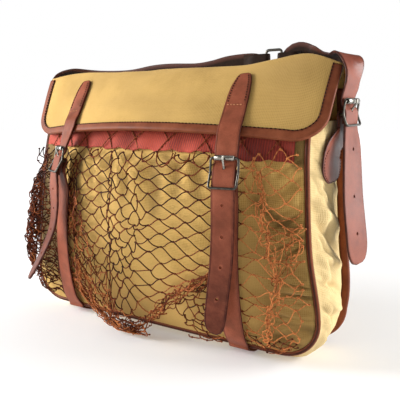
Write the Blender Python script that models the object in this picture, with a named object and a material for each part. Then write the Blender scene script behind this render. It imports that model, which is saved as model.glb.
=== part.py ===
"""Canvas game bag with leather trim, a net pouch on its front and a leather shoulder strap.

The bag stands on its bottom on z = 0. X runs along its width to the viewer's right, Y runs
from the front to the back and Z runs up. The origin is on the underside, at mid width.
All sizes are in metres.
"""

import math
from typing import Callable, NamedTuple, Sequence

import bmesh
import bpy
from mathutils import Matrix, Vector

# Cloth, leather and clearances
CANVAS = 0.0020
STRAP_LEATHER = 0.0026
TAB_LEATHER = 0.0020
BINDING_LEATHER = 0.0012
GAP = 0.0003

# Body: seams, corners and the mouth
FRONT_LOW = 0.012
FRONT_TOP = 0.248
FRONT_CORNER = 0.040
BACK_LOW = 0.004
BACK_TOP = 0.300
BACK_CORNER = 0.038
SWELL_POWER = 2.4
PIPING_RADIUS = 0.0025
SEAM_MARGIN = 0.010
GUSSET_SIDE_BULGE = 0.007
GUSSET_ROUNDING = 0.26
GUSSET_END_GAP = 0.0018
PANEL_ROWS = 6
BACK_ROWS = 8
PANEL_COLUMNS = 10

# Flap and its binding
FLAP_HALF = 0.201
FLAP_DROP = 0.095
FLAP_CORNER = 0.030
FLAP_FIRST_ROW = 0.004
FLAP_ARCH = 0.003
FLAP_COLUMNS = 12
BINDING_WIDTH = 0.0083
BACK_BINDING_WIDTH = 0.0070

# Net pouch and the ribbon that carries it
NET_TOP = 0.2298
NET_LOW = 0.0275
NET_THICKNESS = 0.0020
NET_STRAND = 0.0026
NET_HALF_COLUMNS = 22
NET_HALF_ROWS = 8
RIBBON_THICKNESS = 0.0012
RIBBON_LOW = 0.2150
RIBBON_COLUMNS = 14
RIBBON_TOP = 0.243
RIBBON_HALF = 0.178

# Closing straps, their buckles and punched holes
CLOSING_HALF = 0.0122
CLOSING_PLACES = {"right": 0.1185, "left": -0.1115}
CLOSING_BUCKLE_HEIGHT = 0.197
CLOSING_TURN = {"right": 0.0, "left": 12.0}
HOLE_RADIUS = 0.0018
HOLE_SIDES = 8
PUNCH_REACH = 0.006
CLOSING_TIP = 0.022
TONGUE_LENGTH = 0.045
TONGUE_BLUNT = 0.42
UNDER_PLACES = {"right": 0.1140, "left": -0.1300}
FLAP_PLACES = {"right": (0.1060, 0.1125), "left": (-0.1215, -0.1220)}
UNDER_END = 0.020
LOWER_STRAP_HEIGHTS = (0.165, 0.130, 0.095, 0.060, 0.030)
WRAP_ANGLES = (-5.0, 35.0, 65.0)
WRAP_SLACK = 0.0005
UNDER_MARGIN = 0.008
NET_BAY_START = 0.006
NET_BAY_RISE = 0.020

# Shoulder strap and its side buckles
SHOULDER_HALF = 0.019
SIDE_BUCKLE_HEIGHT = 0.254
SIDE_BUCKLE_Y = {"right": 0.004, "left": 0.0165}
SIDE_BUCKLE_X = 0.2055
SIDE_TAB_Y = {"right": -0.0110, "left": 0.0010}
SIDE_TAB_SHARE = {"right": 1.0, "left": 0.82}
TAB_NECK_HALF = 0.0165
SHOULDER_TIP = 0.024
SIGNS = {"right": 1.0, "left": -1.0}
RING_X = 0.116
RING_Y = 0.0265
RING_Z = 0.3010
RING_HALF_LENGTH = 0.009
RING_CORNER = 0.003
RING_PLAY = 0.0035
LOOP_OVERLAPS = (0.026, 0.012)

# Wire of the buckles
WIRE_RADIUS = 0.0015
PRONG_RADIUS = 0.0011

# Mesh fineness and the step that slopes are measured over
SLOPE_STEP = 0.002
TUBE_SIDES = 6
ROLLER_SIDES = 10
ARC_STEPS = 5


class Section(NamedTuple):
    """Seams and swell of the body at one height."""

    height: float
    front_half: float
    back_half: float
    front_y: float
    back_y: float
    front_swell: float
    back_swell: float
    skew: float


BODY_SECTIONS = (
    Section(0.000, 0.1985, 0.194, -0.039, 0.033, 0.003, 0.001, 0.002),
    Section(0.012, 0.2000, 0.196, -0.040, 0.034, 0.005, 0.001, 0.002),
    Section(0.060, 0.2010, 0.203, -0.043, 0.038, 0.022, 0.003, 0.004),
    Section(0.120, 0.1935, 0.199, -0.045, 0.038, 0.034, 0.005, 0.007),
    Section(0.180, 0.1902, 0.196, -0.042, 0.034, 0.036, 0.006, 0.011),
    Section(0.234, 0.1886, 0.198, -0.036, 0.026, 0.020, 0.004, 0.014),
    Section(0.260, 0.1870, 0.199, -0.020, 0.019, 0.010, -0.004, 0.008),
    Section(0.280, 0.1875, 0.200, -0.018, 0.0125, 0.008, -0.014, 0.007),
    Section(0.300, 0.1870, 0.201, -0.016, 0.0070, 0.006, -0.014, 0.006),
)


class Hem(NamedTuple):
    """Flap cloth behind the ridge, measured from the ridge line."""

    back: float
    down: float


FLAP_HEM = (
    Hem(0.0185, 0.026),
    Hem(0.0165, 0.014),
    Hem(0.0120, 0.005),
    Hem(0.0055, 0.001),
)


class Wave(NamedTuple):
    """How much the flap's ridge rises or sags at a place across it."""

    place: float
    rise: float


RIDGE_WAVES = (
    Wave(-0.2010, 0.0000),
    Wave(-0.1675, 0.0010),
    Wave(-0.1340, 0.0012),
    Wave(-0.1005, -0.0006),
    Wave(-0.0670, -0.0020),
    Wave(-0.0335, -0.0024),
    Wave(0.0000, -0.0016),
    Wave(0.0335, -0.0021),
    Wave(0.0670, -0.0022),
    Wave(0.1005, -0.0018),
    Wave(0.1340, 0.0035),
    Wave(0.1675, 0.0084),
    Wave(0.2010, 0.0000),
)

# The flap's left end hangs a little further to the left and to the front than the rest
RIDGE_PULL = (-0.0035, -0.0005, 0.0)
EDGE_PULL = (-0.0075, -0.0040, 0.0)
PULL_POWER = 8


class Slack(NamedTuple):
    """How far the net stands off the front, by height and place across."""

    height: float
    all_over: float
    left: float
    middle: float
    right: float
    floor: float


NET_SLACK = (
    Slack(0.012, 0.0050, 0.004, 0.010, 0.002, 1.0),
    Slack(0.040, 0.0052, 0.012, 0.012, 0.004, 0.5),
    Slack(0.090, 0.0052, 0.024, 0.008, 0.006, 0.0),
    Slack(0.150, 0.0052, 0.018, 0.006, 0.006, 0.0),
    Slack(0.200, 0.0052, 0.004, 0.003, 0.004, 0.0),
    Slack(0.233, 0.0050, 0.000, 0.000, 0.000, 0.0),
)


class Station(NamedTuple):
    """One place on a strap: its centre and the way its outer face looks."""

    x: float
    y: float
    z: float
    face_x: float
    face_y: float
    face_z: float


SHOULDER_RIGHT = (
    Station(0.1430, 0.0290, 0.3110, 0.00, 1.00, 0.00),
    Station(0.1560, 0.0292, 0.3078, 0.00, 0.98, 0.20),
    Station(0.1690, 0.0290, 0.3068, 0.00, 0.82, 0.57),
    Station(0.1805, 0.0285, 0.3088, 0.04, 0.45, 0.89),
    Station(0.1910, 0.0265, 0.3130, 0.15, 0.00, 0.99),
    Station(0.2000, 0.0215, 0.3125, 0.50, -0.15, 0.85),
    Station(0.2062, 0.0145, 0.3040, 0.82, -0.10, 0.55),
    Station(0.2095, 0.0085, 0.2920, 0.98, 0.00, 0.20),
    Station(0.2103, 0.0055, 0.2830, 1.00, 0.00, 0.00),
)

SHOULDER_LEFT = (
    Station(0.0860, 0.0290, 0.3030, 0.00, 1.00, 0.00),
    Station(0.0600, 0.0295, 0.3020, 0.00, 1.00, 0.05),
    Station(0.0370, 0.0300, 0.2980, 0.00, 1.00, 0.10),
    Station(0.0130, 0.0300, 0.2960, 0.00, 1.00, 0.10),
    Station(-0.0230, 0.0300, 0.2975, 0.00, 1.00, 0.10),
    Station(-0.0500, 0.0302, 0.2970, 0.00, 1.00, 0.10),
    Station(-0.0900, 0.0305, 0.2930, 0.00, 1.00, 0.10),
    Station(-0.1340, 0.0308, 0.2942, 0.00, 0.98, 0.20),
    Station(-0.1620, 0.0310, 0.2985, 0.00, 0.90, 0.44),
    Station(-0.1800, 0.0310, 0.3060, -0.05, 0.58, 0.81),
    Station(-0.1915, 0.0305, 0.3110, -0.15, 0.20, 0.97),
    Station(-0.2010, 0.0290, 0.3110, -0.45, 0.00, 0.89),
    Station(-0.2080, 0.0260, 0.3045, -0.80, 0.00, 0.60),
    Station(-0.2110, 0.0220, 0.2945, -0.98, 0.00, 0.20),
    Station(-0.2115, 0.0185, 0.2840, -1.00, 0.00, 0.00),
)

TAIL_RIGHT = (
    Station(0.2130, 0.0040, 0.2200, 1.00, -0.12, 0.00),
    Station(0.2158, 0.0035, 0.1730, 0.98, -0.20, 0.00),
    Station(0.2200, 0.0045, 0.1350, 0.97, -0.22, 0.00),
    Station(0.2230, 0.0065, 0.1040, 0.97, -0.22, 0.00),
)

TAIL_LEFT = (
    Station(-0.2125, 0.0120, 0.2200, -1.00, 0.00, 0.00),
    Station(-0.2130, 0.0010, 0.1730, -1.00, 0.05, 0.00),
    Station(-0.2140, -0.0090, 0.1200, -0.99, 0.10, 0.00),
    Station(-0.2150, -0.0140, 0.0800, -0.99, 0.10, 0.00),
)


SHOULDER_STATIONS = {"right": SHOULDER_RIGHT, "left": SHOULDER_LEFT}
TAIL_STATIONS = {"right": TAIL_RIGHT, "left": TAIL_LEFT}


class Finish(NamedTuple):
    """Plain surface values of one material."""

    red: float
    green: float
    blue: float
    roughness: float
    metallic: float


CANVAS_FINISH = Finish(0.56, 0.40, 0.13, 0.90, 0.0)
LEATHER_FINISH = Finish(0.27, 0.08, 0.04, 0.55, 0.0)
RIBBON_FINISH = Finish(0.42, 0.05, 0.03, 0.85, 0.0)
CORD_FINISH = Finish(0.24, 0.07, 0.02, 0.80, 0.0)
METAL_FINISH = Finish(0.55, 0.53, 0.50, 0.35, 1.0)


def clear_scene() -> None:
    """Remove every object of the open scene."""
    for item in list(bpy.data.objects):
        bpy.data.objects.remove(item, do_unlink=True)


def make_material(name: str, finish: Finish) -> bpy.types.Material:
    """Return a Principled material with the finish's plain values."""
    material = bpy.data.materials.new(name)
    material.use_nodes = True
    shader = material.node_tree.nodes["Principled BSDF"]
    shader.inputs["Base Color"].default_value = (finish.red, finish.green, finish.blue, 1.0)
    shader.inputs["Roughness"].default_value = finish.roughness
    shader.inputs["Metallic"].default_value = finish.metallic
    return material


def make_object(name: str, points: Sequence[Vector], faces: Sequence[Sequence[int]],
                finish: Finish) -> bpy.types.Object:
    """Return a new object with its own material."""
    mesh = bpy.data.meshes.new(name)
    mesh.from_pydata([tuple(point) for point in points], [], faces)
    mesh.validate()
    item = bpy.data.objects.new(name, mesh)
    mesh.materials.append(make_material(name + "_finish", finish))
    bpy.context.scene.collection.objects.link(item)
    return item


def face_outward(item: bpy.types.Object) -> None:
    """Turn all faces of a closed mesh outward."""
    shape = bmesh.new()
    shape.from_mesh(item.data)
    bmesh.ops.recalc_face_normals(shape, faces=shape.faces)
    shape.to_mesh(item.data)
    shape.free()


def thicken(item: bpy.types.Object, thickness: float) -> None:
    """Give a sheet its wall, half to each side."""
    wall = item.modifiers.new("wall", "SOLIDIFY")
    wall.thickness = thickness
    wall.offset = 0.0
    wall.use_even_offset = True
    wall.use_rim = True


def sheet(name: str, rows: Sequence[Sequence[Vector]], thickness: float,
          finish: Finish) -> bpy.types.Object:
    """Return a closed wall around a grid of points given row by row."""
    columns = len(rows[0])
    points = [point for row in rows for point in row]
    faces = []
    for i in range(len(rows) - 1):
        for j in range(columns - 1):
            corner = i * columns + j
            faces.append((corner, corner + 1, corner + columns + 1, corner + columns))
    item = make_object(name, points, faces, finish)
    thicken(item, thickness)
    return item


def sweep(name: str, loops: Sequence[Sequence[Vector]], finish: Finish,
          closed: bool = False) -> bpy.types.Object:
    """Return a solid through a row of equal cross-section loops."""
    sides = len(loops[0])
    points = [point for loop in loops for point in loop]
    count = len(loops)
    faces = []
    for i in range(count if closed else count - 1):
        here = i * sides
        there = ((i + 1) % count) * sides
        for j in range(sides):
            k = (j + 1) % sides
            faces.append((here + j, here + k, there + k, there + j))
    if not closed:
        faces.append(tuple(range(sides)))
        faces.append(tuple(range((count - 1) * sides, count * sides)))
    item = make_object(name, points, faces, finish)
    face_outward(item)
    return item


def tangents(path: Sequence[Vector], closed: bool = False) -> list[Vector]:
    """Return the unit direction at each point of a path."""
    result = []
    last = len(path) - 1
    for i in range(len(path)):
        before = path[i - 1] if (i > 0 or closed) else path[i]
        after = path[(i + 1) % len(path)] if (i < last or closed) else path[i]
        result.append((after - before).normalized())
    return result


def tube(name: str, path: Sequence[Vector], radius: float, finish: Finish,
         closed: bool = False, hint: Vector = Vector((0.0, 0.0, 1.0))) -> bpy.types.Object:
    """Return a round bar along a path, its sides turned by parallel transport."""
    loops = []
    ways = tangents(path, closed)
    side = ways[0].cross(hint).normalized()
    for point, way in zip(path, ways):
        side = (side - way * side.dot(way)).normalized()
        other = way.cross(side)
        loop = []
        for k in range(TUBE_SIDES):
            angle = 2.0 * math.pi * k / TUBE_SIDES
            loop.append(point + (side * math.cos(angle) + other * math.sin(angle)) * radius)
        loops.append(loop)
    return sweep(name, loops, finish, closed)


def spline(points: Sequence[Vector], steps: int) -> list[Vector]:
    """Return a smooth curve through the points, with steps pieces in each span."""
    result = []
    last = len(points) - 1
    for i in range(last):
        a = points[max(i - 1, 0)]
        b = points[i]
        c = points[i + 1]
        d = points[min(i + 2, last)]
        for k in range(steps):
            t = k / steps
            result.append(0.5 * ((2.0 * b) + (c - a) * t + (2.0 * a - 5.0 * b + 4.0 * c - d) * t ** 2
                                 + (3.0 * b - a - 3.0 * c + d) * t ** 3))
    result.append(points[last].copy())
    return result


def read_table(rows: Sequence[NamedTuple], place: float) -> list[float]:
    """Return a table's columns at a place of its first column, with smooth slopes through its rows."""
    last = len(rows) - 1
    place = min(max(place, rows[0][0]), rows[last][0])
    i = 0
    while i < last - 1 and rows[i + 1][0] < place:
        i += 1
    span = rows[i + 1][0] - rows[i][0]
    t = (place - rows[i][0]) / span
    values = []
    for column in range(len(rows[0])):
        ends = []
        for j in (i, i + 1):
            low = rows[max(j - 1, 0)]
            high = rows[min(j + 1, last)]
            ends.append((high[column] - low[column]) / (high[0] - low[0]) * span)
        here = rows[i][column]
        there = rows[i + 1][column]
        values.append(here * (2 * t ** 3 - 3 * t ** 2 + 1) + ends[0] * (t ** 3 - 2 * t ** 2 + t)
                      + there * (3 * t ** 2 - 2 * t ** 3) + ends[1] * (t ** 3 - t ** 2))
    return values


def smooth_step(value: float) -> float:
    """Return 0 to 1 with level ends for a value from 0 to 1."""
    value = min(max(value, 0.0), 1.0)
    return value * value * (3.0 - 2.0 * value)


def body_section(height: float) -> Section:
    """Return the body's section at a height."""
    return Section(*read_table(BODY_SECTIONS, height))


def front_point(x: float, z: float) -> Vector:
    """Return the middle of the front canvas at a place seen from the front."""
    section = body_section(z)
    across = min(max(x / section.front_half, -1.0), 1.0)
    swell = section.front_swell * (1.0 - abs(across) ** SWELL_POWER)
    return Vector((x, section.front_y - section.skew * across - swell, z))


def back_point(x: float, z: float) -> Vector:
    """Return the middle of the back canvas at a place seen from the back."""
    section = body_section(z)
    across = min(max(x / section.back_half, -1.0), 1.0)
    return Vector((x, section.back_y + section.back_swell * (1.0 - across * across), z))


def front_normal(x: float, z: float) -> Vector:
    """Return the outward direction of the front canvas."""
    along = front_point(x + SLOPE_STEP, z) - front_point(x - SLOPE_STEP, z)
    up = front_point(x, z + SLOPE_STEP) - front_point(x, z - SLOPE_STEP)
    return along.cross(up).normalized()


def back_normal(x: float, z: float) -> Vector:
    """Return the outward direction of the back canvas."""
    along = back_point(x - SLOPE_STEP, z) - back_point(x + SLOPE_STEP, z)
    up = back_point(x, z + SLOPE_STEP) - back_point(x, z - SLOPE_STEP)
    return along.cross(up).normalized()


def rounded_half(half: Callable[[float], float], low: float, radius: float,
                 inset: float, height: float) -> float:
    """Return the half width of a panel with two rounded bottom corners."""
    if height >= low + radius:
        return half(height) - inset
    centre = half(low + radius) - radius
    reach = radius - inset
    drop = low + radius - height
    return centre + math.sqrt(max(reach * reach - drop * drop, 0.0))


def panel_heights(low: float, radius: float, inset: float, top: float, rows: int) -> list[float]:
    """Return the row heights of a panel: close in its corners, even above them."""
    heights = []
    for k in range(ARC_STEPS):
        angle = 0.5 * math.pi * k / ARC_STEPS
        heights.append(low + radius - (radius - inset) * math.cos(angle))
    for k in range(rows + 1):
        heights.append(low + radius + (top - low - radius) * k / rows)
    return heights


def panel_rows(point: Callable[[float, float], Vector], half: Callable[[float], float], low: float,
               radius: float, inset: float, top: float, rows: int, columns: int) -> list:
    """Return the grid of a panel with rounded bottom corners."""
    grid = []
    for height in panel_heights(low, radius, inset, top, rows):
        reach = rounded_half(half, low, radius, inset, height)
        grid.append([point(reach * (2.0 * j / columns - 1.0), height) for j in range(columns + 1)])
    return grid


def edge_path(half: Callable[[float], float], low: float, radius: float, inset: float, top: float,
              rows: int, columns: int) -> list[tuple[float, float]]:
    """Return x and z along a panel's edge, from its top right round to its top left."""
    heights = panel_heights(low, radius, inset, top, rows)
    right = [(rounded_half(half, low, radius, inset, z), z) for z in reversed(heights)]
    reach = right[-1][0]
    bottom = [(reach * (1.0 - 2.0 * k / columns), low + inset) for k in range(1, columns)]
    left = [(-x, z) for x, z in reversed(right)]
    return right + bottom + left


def front_half(height: float) -> float:
    """Return half the front's width."""
    return body_section(height).front_half


def back_half(height: float) -> float:
    """Return half the back's width."""
    return body_section(height).back_half


def build_front() -> None:
    """Make the swelling front canvas."""
    inset = PIPING_RADIUS + GAP
    rows = panel_rows(front_point, front_half, FRONT_LOW, FRONT_CORNER, inset, FRONT_TOP, PANEL_ROWS,
                      PANEL_COLUMNS)
    sheet("front_panel", rows, CANVAS, CANVAS_FINISH)


def build_back() -> None:
    """Make the flat back canvas, which carries the flap at its top."""
    rows = panel_rows(back_point, back_half, BACK_LOW, BACK_CORNER, 0.0, BACK_TOP, BACK_ROWS,
                      PANEL_COLUMNS)
    sheet("back_panel", rows, CANVAS, CANVAS_FINISH)


def build_piping() -> None:
    """Make the round leather piping along the front seam."""
    path = edge_path(front_half, FRONT_LOW, FRONT_CORNER, 0.0, FRONT_TOP, PANEL_ROWS, PANEL_COLUMNS)
    tube("front_piping", [front_point(x, z) for x, z in path], PIPING_RADIUS, LEATHER_FINISH)


def strap_dent(x: float) -> float:
    """Return 1 over a closing strap that runs under the bottom, 0 away from it."""
    dent = 0.0
    for place in UNDER_PLACES.values():
        away = abs(x - place) - CLOSING_HALF - GAP
        dent = max(dent, 1.0 - smooth_step(away / UNDER_MARGIN))
    return dent


def bottom_stops() -> list[float]:
    """Return places across the bottom, with stops at both sides of each strap."""
    stops = [0.0]
    for place in UNDER_PLACES.values():
        for side in (-1.0, 1.0):
            stops.append(place + side * (CLOSING_HALF + GAP))
            stops.append(place + side * (CLOSING_HALF + GAP + UNDER_MARGIN))
    return sorted(stops, reverse=True)


def gusset_paths() -> tuple[list[Vector], list[Vector], list[Vector]]:
    """Return the gusset's front seam, its back seam and the way out between them."""
    front = []
    back = []
    outward = []
    rise = FRONT_TOP - FRONT_LOW - FRONT_CORNER
    heights = [FRONT_TOP - rise * k / PANEL_ROWS for k in range(PANEL_ROWS + 1)]
    for side in (1.0, -1.0):
        half = []
        for z in heights:
            x_front = front_half(z) * side
            x_back = (back_half(z) - SEAM_MARGIN) * side
            half.append((x_front, z, x_back, z, Vector((side, 0.0, 0.0))))
        for k in range(1, ARC_STEPS + 1):
            angle = 0.5 * math.pi * k / ARC_STEPS
            way = Vector((side * math.cos(angle), 0.0, -math.sin(angle)))
            x_front = (front_half(FRONT_LOW + FRONT_CORNER) - FRONT_CORNER) * side + way.x * FRONT_CORNER
            z_front = FRONT_LOW + FRONT_CORNER + way.z * FRONT_CORNER
            reach = BACK_CORNER - SEAM_MARGIN
            x_back = (back_half(BACK_LOW + BACK_CORNER) - BACK_CORNER) * side + way.x * reach
            z_back = BACK_LOW + BACK_CORNER + way.z * reach
            half.append((x_front, z_front, x_back, z_back, way))
        if side > 0.0:
            for x in bottom_stops():
                half.append((x, FRONT_LOW, x, BACK_LOW + SEAM_MARGIN, Vector((0.0, 0.0, -1.0))))
        else:
            half.reverse()
        for x_front, z_front, x_back, z_back, way in half:
            start = front_point(x_front, z_front)
            start.y += PIPING_RADIUS + GUSSET_END_GAP
            end = back_point(x_back, z_back)
            end.y -= CANVAS / 2.0 + GUSSET_END_GAP
            front.append(start)
            back.append(end)
            outward.append(way)
    return front, back, outward


def gusset_arch(share: float) -> float:
    """Return how far the gusset has swelled, 0 at its seams and 1 over its middle."""
    return smooth_step(min(share, 1.0 - share) / GUSSET_ROUNDING)


def build_gusset() -> None:
    """Make the one strip that forms both sides and the bottom."""
    shares = (0.0, 0.12, GUSSET_ROUNDING, 1.0 - GUSSET_ROUNDING, 0.88, 1.0)
    rows = []
    for start, end, way in zip(*gusset_paths()):
        row = []
        for share in shares:
            point = start.lerp(end, share)
            arch = gusset_arch(share)
            level = CANVAS / 2.0 + (TAB_LEATHER + GAP) * strap_dent(point.x)
            point.x += way.x * GUSSET_SIDE_BULGE * arch
            point.z += (level - point.z) * arch * way.z ** 4
            point.z = max(point.z, level)
            row.append(point)
        rows.append(row)
    sheet("gusset", rows, CANVAS, CANVAS_FINISH)


def gusset_side(side: str, y: float, z: float) -> float:
    """Return how far from the middle a side's canvas stands at a depth and a height."""
    x_front = front_half(z)
    x_back = back_half(z) - SEAM_MARGIN
    y_front = front_point(x_front * SIGNS[side], z).y
    share = (y - y_front) / (back_point(x_back, z).y - y_front)
    share = min(max(share, 0.0), 1.0)
    return x_front + (x_back - x_front) * share + GUSSET_SIDE_BULGE * gusset_arch(share)


def flap_pull(a: float) -> float:
    """Return how much of its pull to the left and forward the flap has at a place across it."""
    return min(max(0.5 - 0.5 * a / FLAP_HALF, 0.0), 1.0) ** PULL_POWER


def flap_ridge(a: float) -> Vector:
    """Return the ridge of the flap at a place across its cloth."""
    across = a / FLAP_HALF
    rise = read_table(RIDGE_WAVES, a)[1]
    ridge = Vector((a, 0.003 - 0.014 * (1.0 - across * across), 0.303 + 0.0045 * (1.0 - across ** 4) + rise))
    return ridge + Vector(RIDGE_PULL) * flap_pull(a)


def flap_edge(a: float) -> Vector:
    """Return the flap's lower edge at a place across its cloth."""
    across = a / FLAP_HALF
    crown = 1.0 - across * across
    x = 0.008 + 0.1965 * across
    edge = Vector((x, -0.0425 - 0.0130 * across - 0.034 * crown, 0.2290 + 0.0115 * crown))
    return edge + Vector(EDGE_PULL) * flap_pull(a)


def flap_point(a: float, s: float) -> Vector:
    """Return the flap's middle surface at a place across it and a way down from its ridge."""
    across = a / FLAP_HALF
    share = s / FLAP_DROP
    arch = FLAP_ARCH * (1.0 - 0.5 * across * across) * 4.0 * share * (1.0 - share)
    return flap_ridge(a).lerp(flap_edge(a), share) + Vector((0.0, -0.7, 0.7)) * arch


def flap_normal(a: float, s: float) -> Vector:
    """Return the outward direction of the flap."""
    along = flap_point(a + SLOPE_STEP, s) - flap_point(a - SLOPE_STEP, s)
    down = flap_point(a, s + SLOPE_STEP) - flap_point(a, s - SLOPE_STEP)
    return down.cross(along).normalized()


def flap_half(s: float) -> float:
    """Return half the flap's cloth width, with its two round corners."""
    drop = s - (FLAP_DROP - FLAP_CORNER)
    if drop <= 0.0:
        return FLAP_HALF
    return FLAP_HALF - FLAP_CORNER + math.sqrt(max(FLAP_CORNER ** 2 - drop ** 2, 0.0))


def flap_stops() -> list[float]:
    """Return the rows of the flap below its ridge, close in its corners."""
    straight = FLAP_DROP - FLAP_CORNER
    stops = [straight * k / 4 for k in range(5)]
    for k in range(1, ARC_STEPS + 1):
        stops.append(straight + FLAP_CORNER * math.sin(0.5 * math.pi * k / ARC_STEPS))
    return stops


def build_flap() -> None:
    """Make the canvas flap, from its hem behind the ridge to its lower edge."""
    places = [2.0 * j / FLAP_COLUMNS - 1.0 for j in range(FLAP_COLUMNS + 1)]
    rows = []
    for hem in FLAP_HEM:
        row = [flap_ridge(FLAP_HALF * place) for place in places]
        rows.append([point + Vector((0.0, hem.back, -hem.down)) for point in row])
    for s in flap_stops():
        half = flap_half(s)
        rows.append([flap_point(half * place, s) for place in places])
    sheet("flap", rows, CANVAS, CANVAS_FINISH)


def channel_loop(place: Callable[[float, float], Vector], width: float, gap: float) -> list[Vector]:
    """Return the folded section of a binding, from its inset and its offset."""
    inner = CANVAS / 2.0 + gap
    outer = inner + BINDING_LEATHER
    fold = -GAP
    return [place(width, inner), place(width, outer), place(fold - BINDING_LEATHER, outer),
            place(fold - BINDING_LEATHER, -outer), place(width, -outer), place(width, -inner),
            place(fold, -inner), place(fold, inner)]


def build_flap_binding() -> None:
    """Make the leather binding folded over the flap's sides and lower edge."""
    straight = FLAP_DROP - FLAP_CORNER
    centre = FLAP_HALF - FLAP_CORNER
    corner = [(FLAP_HALF, FLAP_FIRST_ROW, 1.0, 0.0)]
    for k in range(1, 4):
        corner.append((FLAP_HALF, straight * k / 4, 1.0, 0.0))
    for k in range(ARC_STEPS + 1):
        angle = 0.5 * math.pi * k / ARC_STEPS
        out_a = math.cos(angle)
        out_s = math.sin(angle)
        corner.append((centre + FLAP_CORNER * out_a, straight + FLAP_CORNER * out_s, out_a, out_s))
    bottom = []
    for k in range(1, FLAP_COLUMNS):
        bottom.append((centre * (1.0 - 2.0 * k / FLAP_COLUMNS), FLAP_DROP, 0.0, 1.0))
    mirrored = [(-a, s, -out_a, out_s) for a, s, out_a, out_s in reversed(corner)]
    loops = []
    for a, s, out_a, out_s in corner + bottom + mirrored:
        def place(inset: float, offset: float) -> Vector:
            return flap_point(a - out_a * inset, s - out_s * inset) + flap_normal(a, s) * offset
        loops.append(channel_loop(place, BINDING_WIDTH, GAP * 1.3))
    sweep("flap_binding", loops, LEATHER_FINISH)


def build_back_binding() -> None:
    """Make the leather binding round the back's sides and bottom."""
    outline = edge_path(back_half, BACK_LOW, BACK_CORNER, 0.0, BACK_TOP, BACK_ROWS, PANEL_COLUMNS)[1:-1]
    points = [Vector((x, 0.0, z)) for x, z in outline]
    loops = []
    for (x, z), way in zip(outline, tangents(points)):
        out = Vector((-way.z, 0.0, way.x))

        def place(inset: float, offset: float) -> Vector:
            return back_point(x - out.x * inset, z - out.z * inset) + back_normal(x, z) * offset
        loops.append(channel_loop(place, BACK_BINDING_WIDTH, GAP * 2.5))
    sweep("back_binding", loops, LEATHER_FINISH)


def lower_strap_x(side: str, height: float) -> float:
    """Return how far to the right a lower strap lies at a height."""
    share = smooth_step((CLOSING_BUCKLE_HEIGHT - height) / 0.185)
    return CLOSING_PLACES[side] + (UNDER_PLACES[side] - CLOSING_PLACES[side]) * share


def free_of_straps(x: float, height: float) -> float:
    """Return 0 where a lower strap presses the net flat, 1 well away from it."""
    away = min(abs(x - lower_strap_x(side, height)) for side in UNDER_PLACES)
    return smooth_step((away - CLOSING_HALF - NET_BAY_START) / NET_BAY_RISE)


def net_half(height: float) -> float:
    """Return half the width of the net at a height, inside the piping."""
    inset = PIPING_RADIUS + 0.006
    return rounded_half(front_half, FRONT_LOW, FRONT_CORNER, inset, height)


def net_point(across: float, height: float) -> Vector:
    """Return the middle of the net at a share across it and a height."""
    slack = Slack(*read_table(NET_SLACK, height))
    x = net_half(height) * across
    left = math.exp(-((across + 0.86) / 0.12) ** 2)
    middle = math.exp(-((across + 0.04) / 0.27) ** 2)
    right = math.exp(-((across - 0.84) / 0.10) ** 2)
    rim = (1.0 - abs(across) ** 12) * free_of_straps(x, height)
    stand = slack.all_over + (slack.left * left + slack.middle * middle + slack.right * right) * rim
    point = front_point(x, height) + front_normal(x, height) * stand
    pool = math.exp(-((across + 0.16) / 0.26) ** 2) * slack.floor
    point.y -= 0.020 * pool
    point.z += (0.0045 - point.z) * pool * 0.8
    return point


def build_net() -> None:
    """Make the coarse net: a sheet of diamonds with their middles cut out."""
    low = NET_LOW
    nodes = {}
    points = []
    for i in range(NET_HALF_ROWS + 1):
        for j in range(NET_HALF_COLUMNS + 1):
            if (i + j) % 2 == 0:
                height = NET_TOP + (low - NET_TOP) * i / NET_HALF_ROWS
                nodes[i, j] = len(points)
                points.append(net_point(2.0 * j / NET_HALF_COLUMNS - 1.0, height))
    faces = []
    for i in range(NET_HALF_ROWS + 1):
        for j in range(NET_HALF_COLUMNS + 1):
            if (i + j) % 2 == 1:
                ring = [(i - 1, j), (i, j - 1), (i + 1, j), (i, j + 1)]
                corners = [nodes[place] for place in ring if place in nodes]
                if len(corners) > 2:
                    faces.append(corners)
    net = make_object("net", points, faces, CORD_FINISH)
    shape = bmesh.new()
    shape.from_mesh(net.data)
    cells = list(shape.faces)
    bmesh.ops.inset_individual(shape, faces=cells, thickness=NET_STRAND / 2.0, use_even_offset=True)
    bmesh.ops.delete(shape, geom=cells, context="FACES")
    shape.to_mesh(net.data)
    shape.free()
    thicken(net, NET_THICKNESS)


def build_ribbon() -> None:
    """Make the ribbed ribbon across the top of the front, under the flap."""
    stand = (CANVAS + RIBBON_THICKNESS) / 2.0 + GAP * 2.0
    rows = []
    for z in (RIBBON_LOW, (RIBBON_LOW + RIBBON_TOP) / 2.0, RIBBON_TOP):
        row = []
        for j in range(RIBBON_COLUMNS + 1):
            x = RIBBON_HALF * (2.0 * j / RIBBON_COLUMNS - 1.0)
            row.append(front_point(x, z) + front_normal(x, z) * stand)
        rows.append(row)
    sheet("net_band", rows, RIBBON_THICKNESS, RIBBON_FINISH)


class Strip(NamedTuple):
    """A strap's centre line with its half width and the way across it."""

    centres: list
    across: list
    halves: list


def strip_from_faces(centres: Sequence[Vector], faces: Sequence[Vector], half: float) -> Strip:
    """Return a strap whose outer face looks the given ways."""
    across = []
    for way, face in zip(tangents(centres), faces):
        across.append(face.cross(way).normalized())
    return Strip(list(centres), across, [half] * len(centres))


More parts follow.
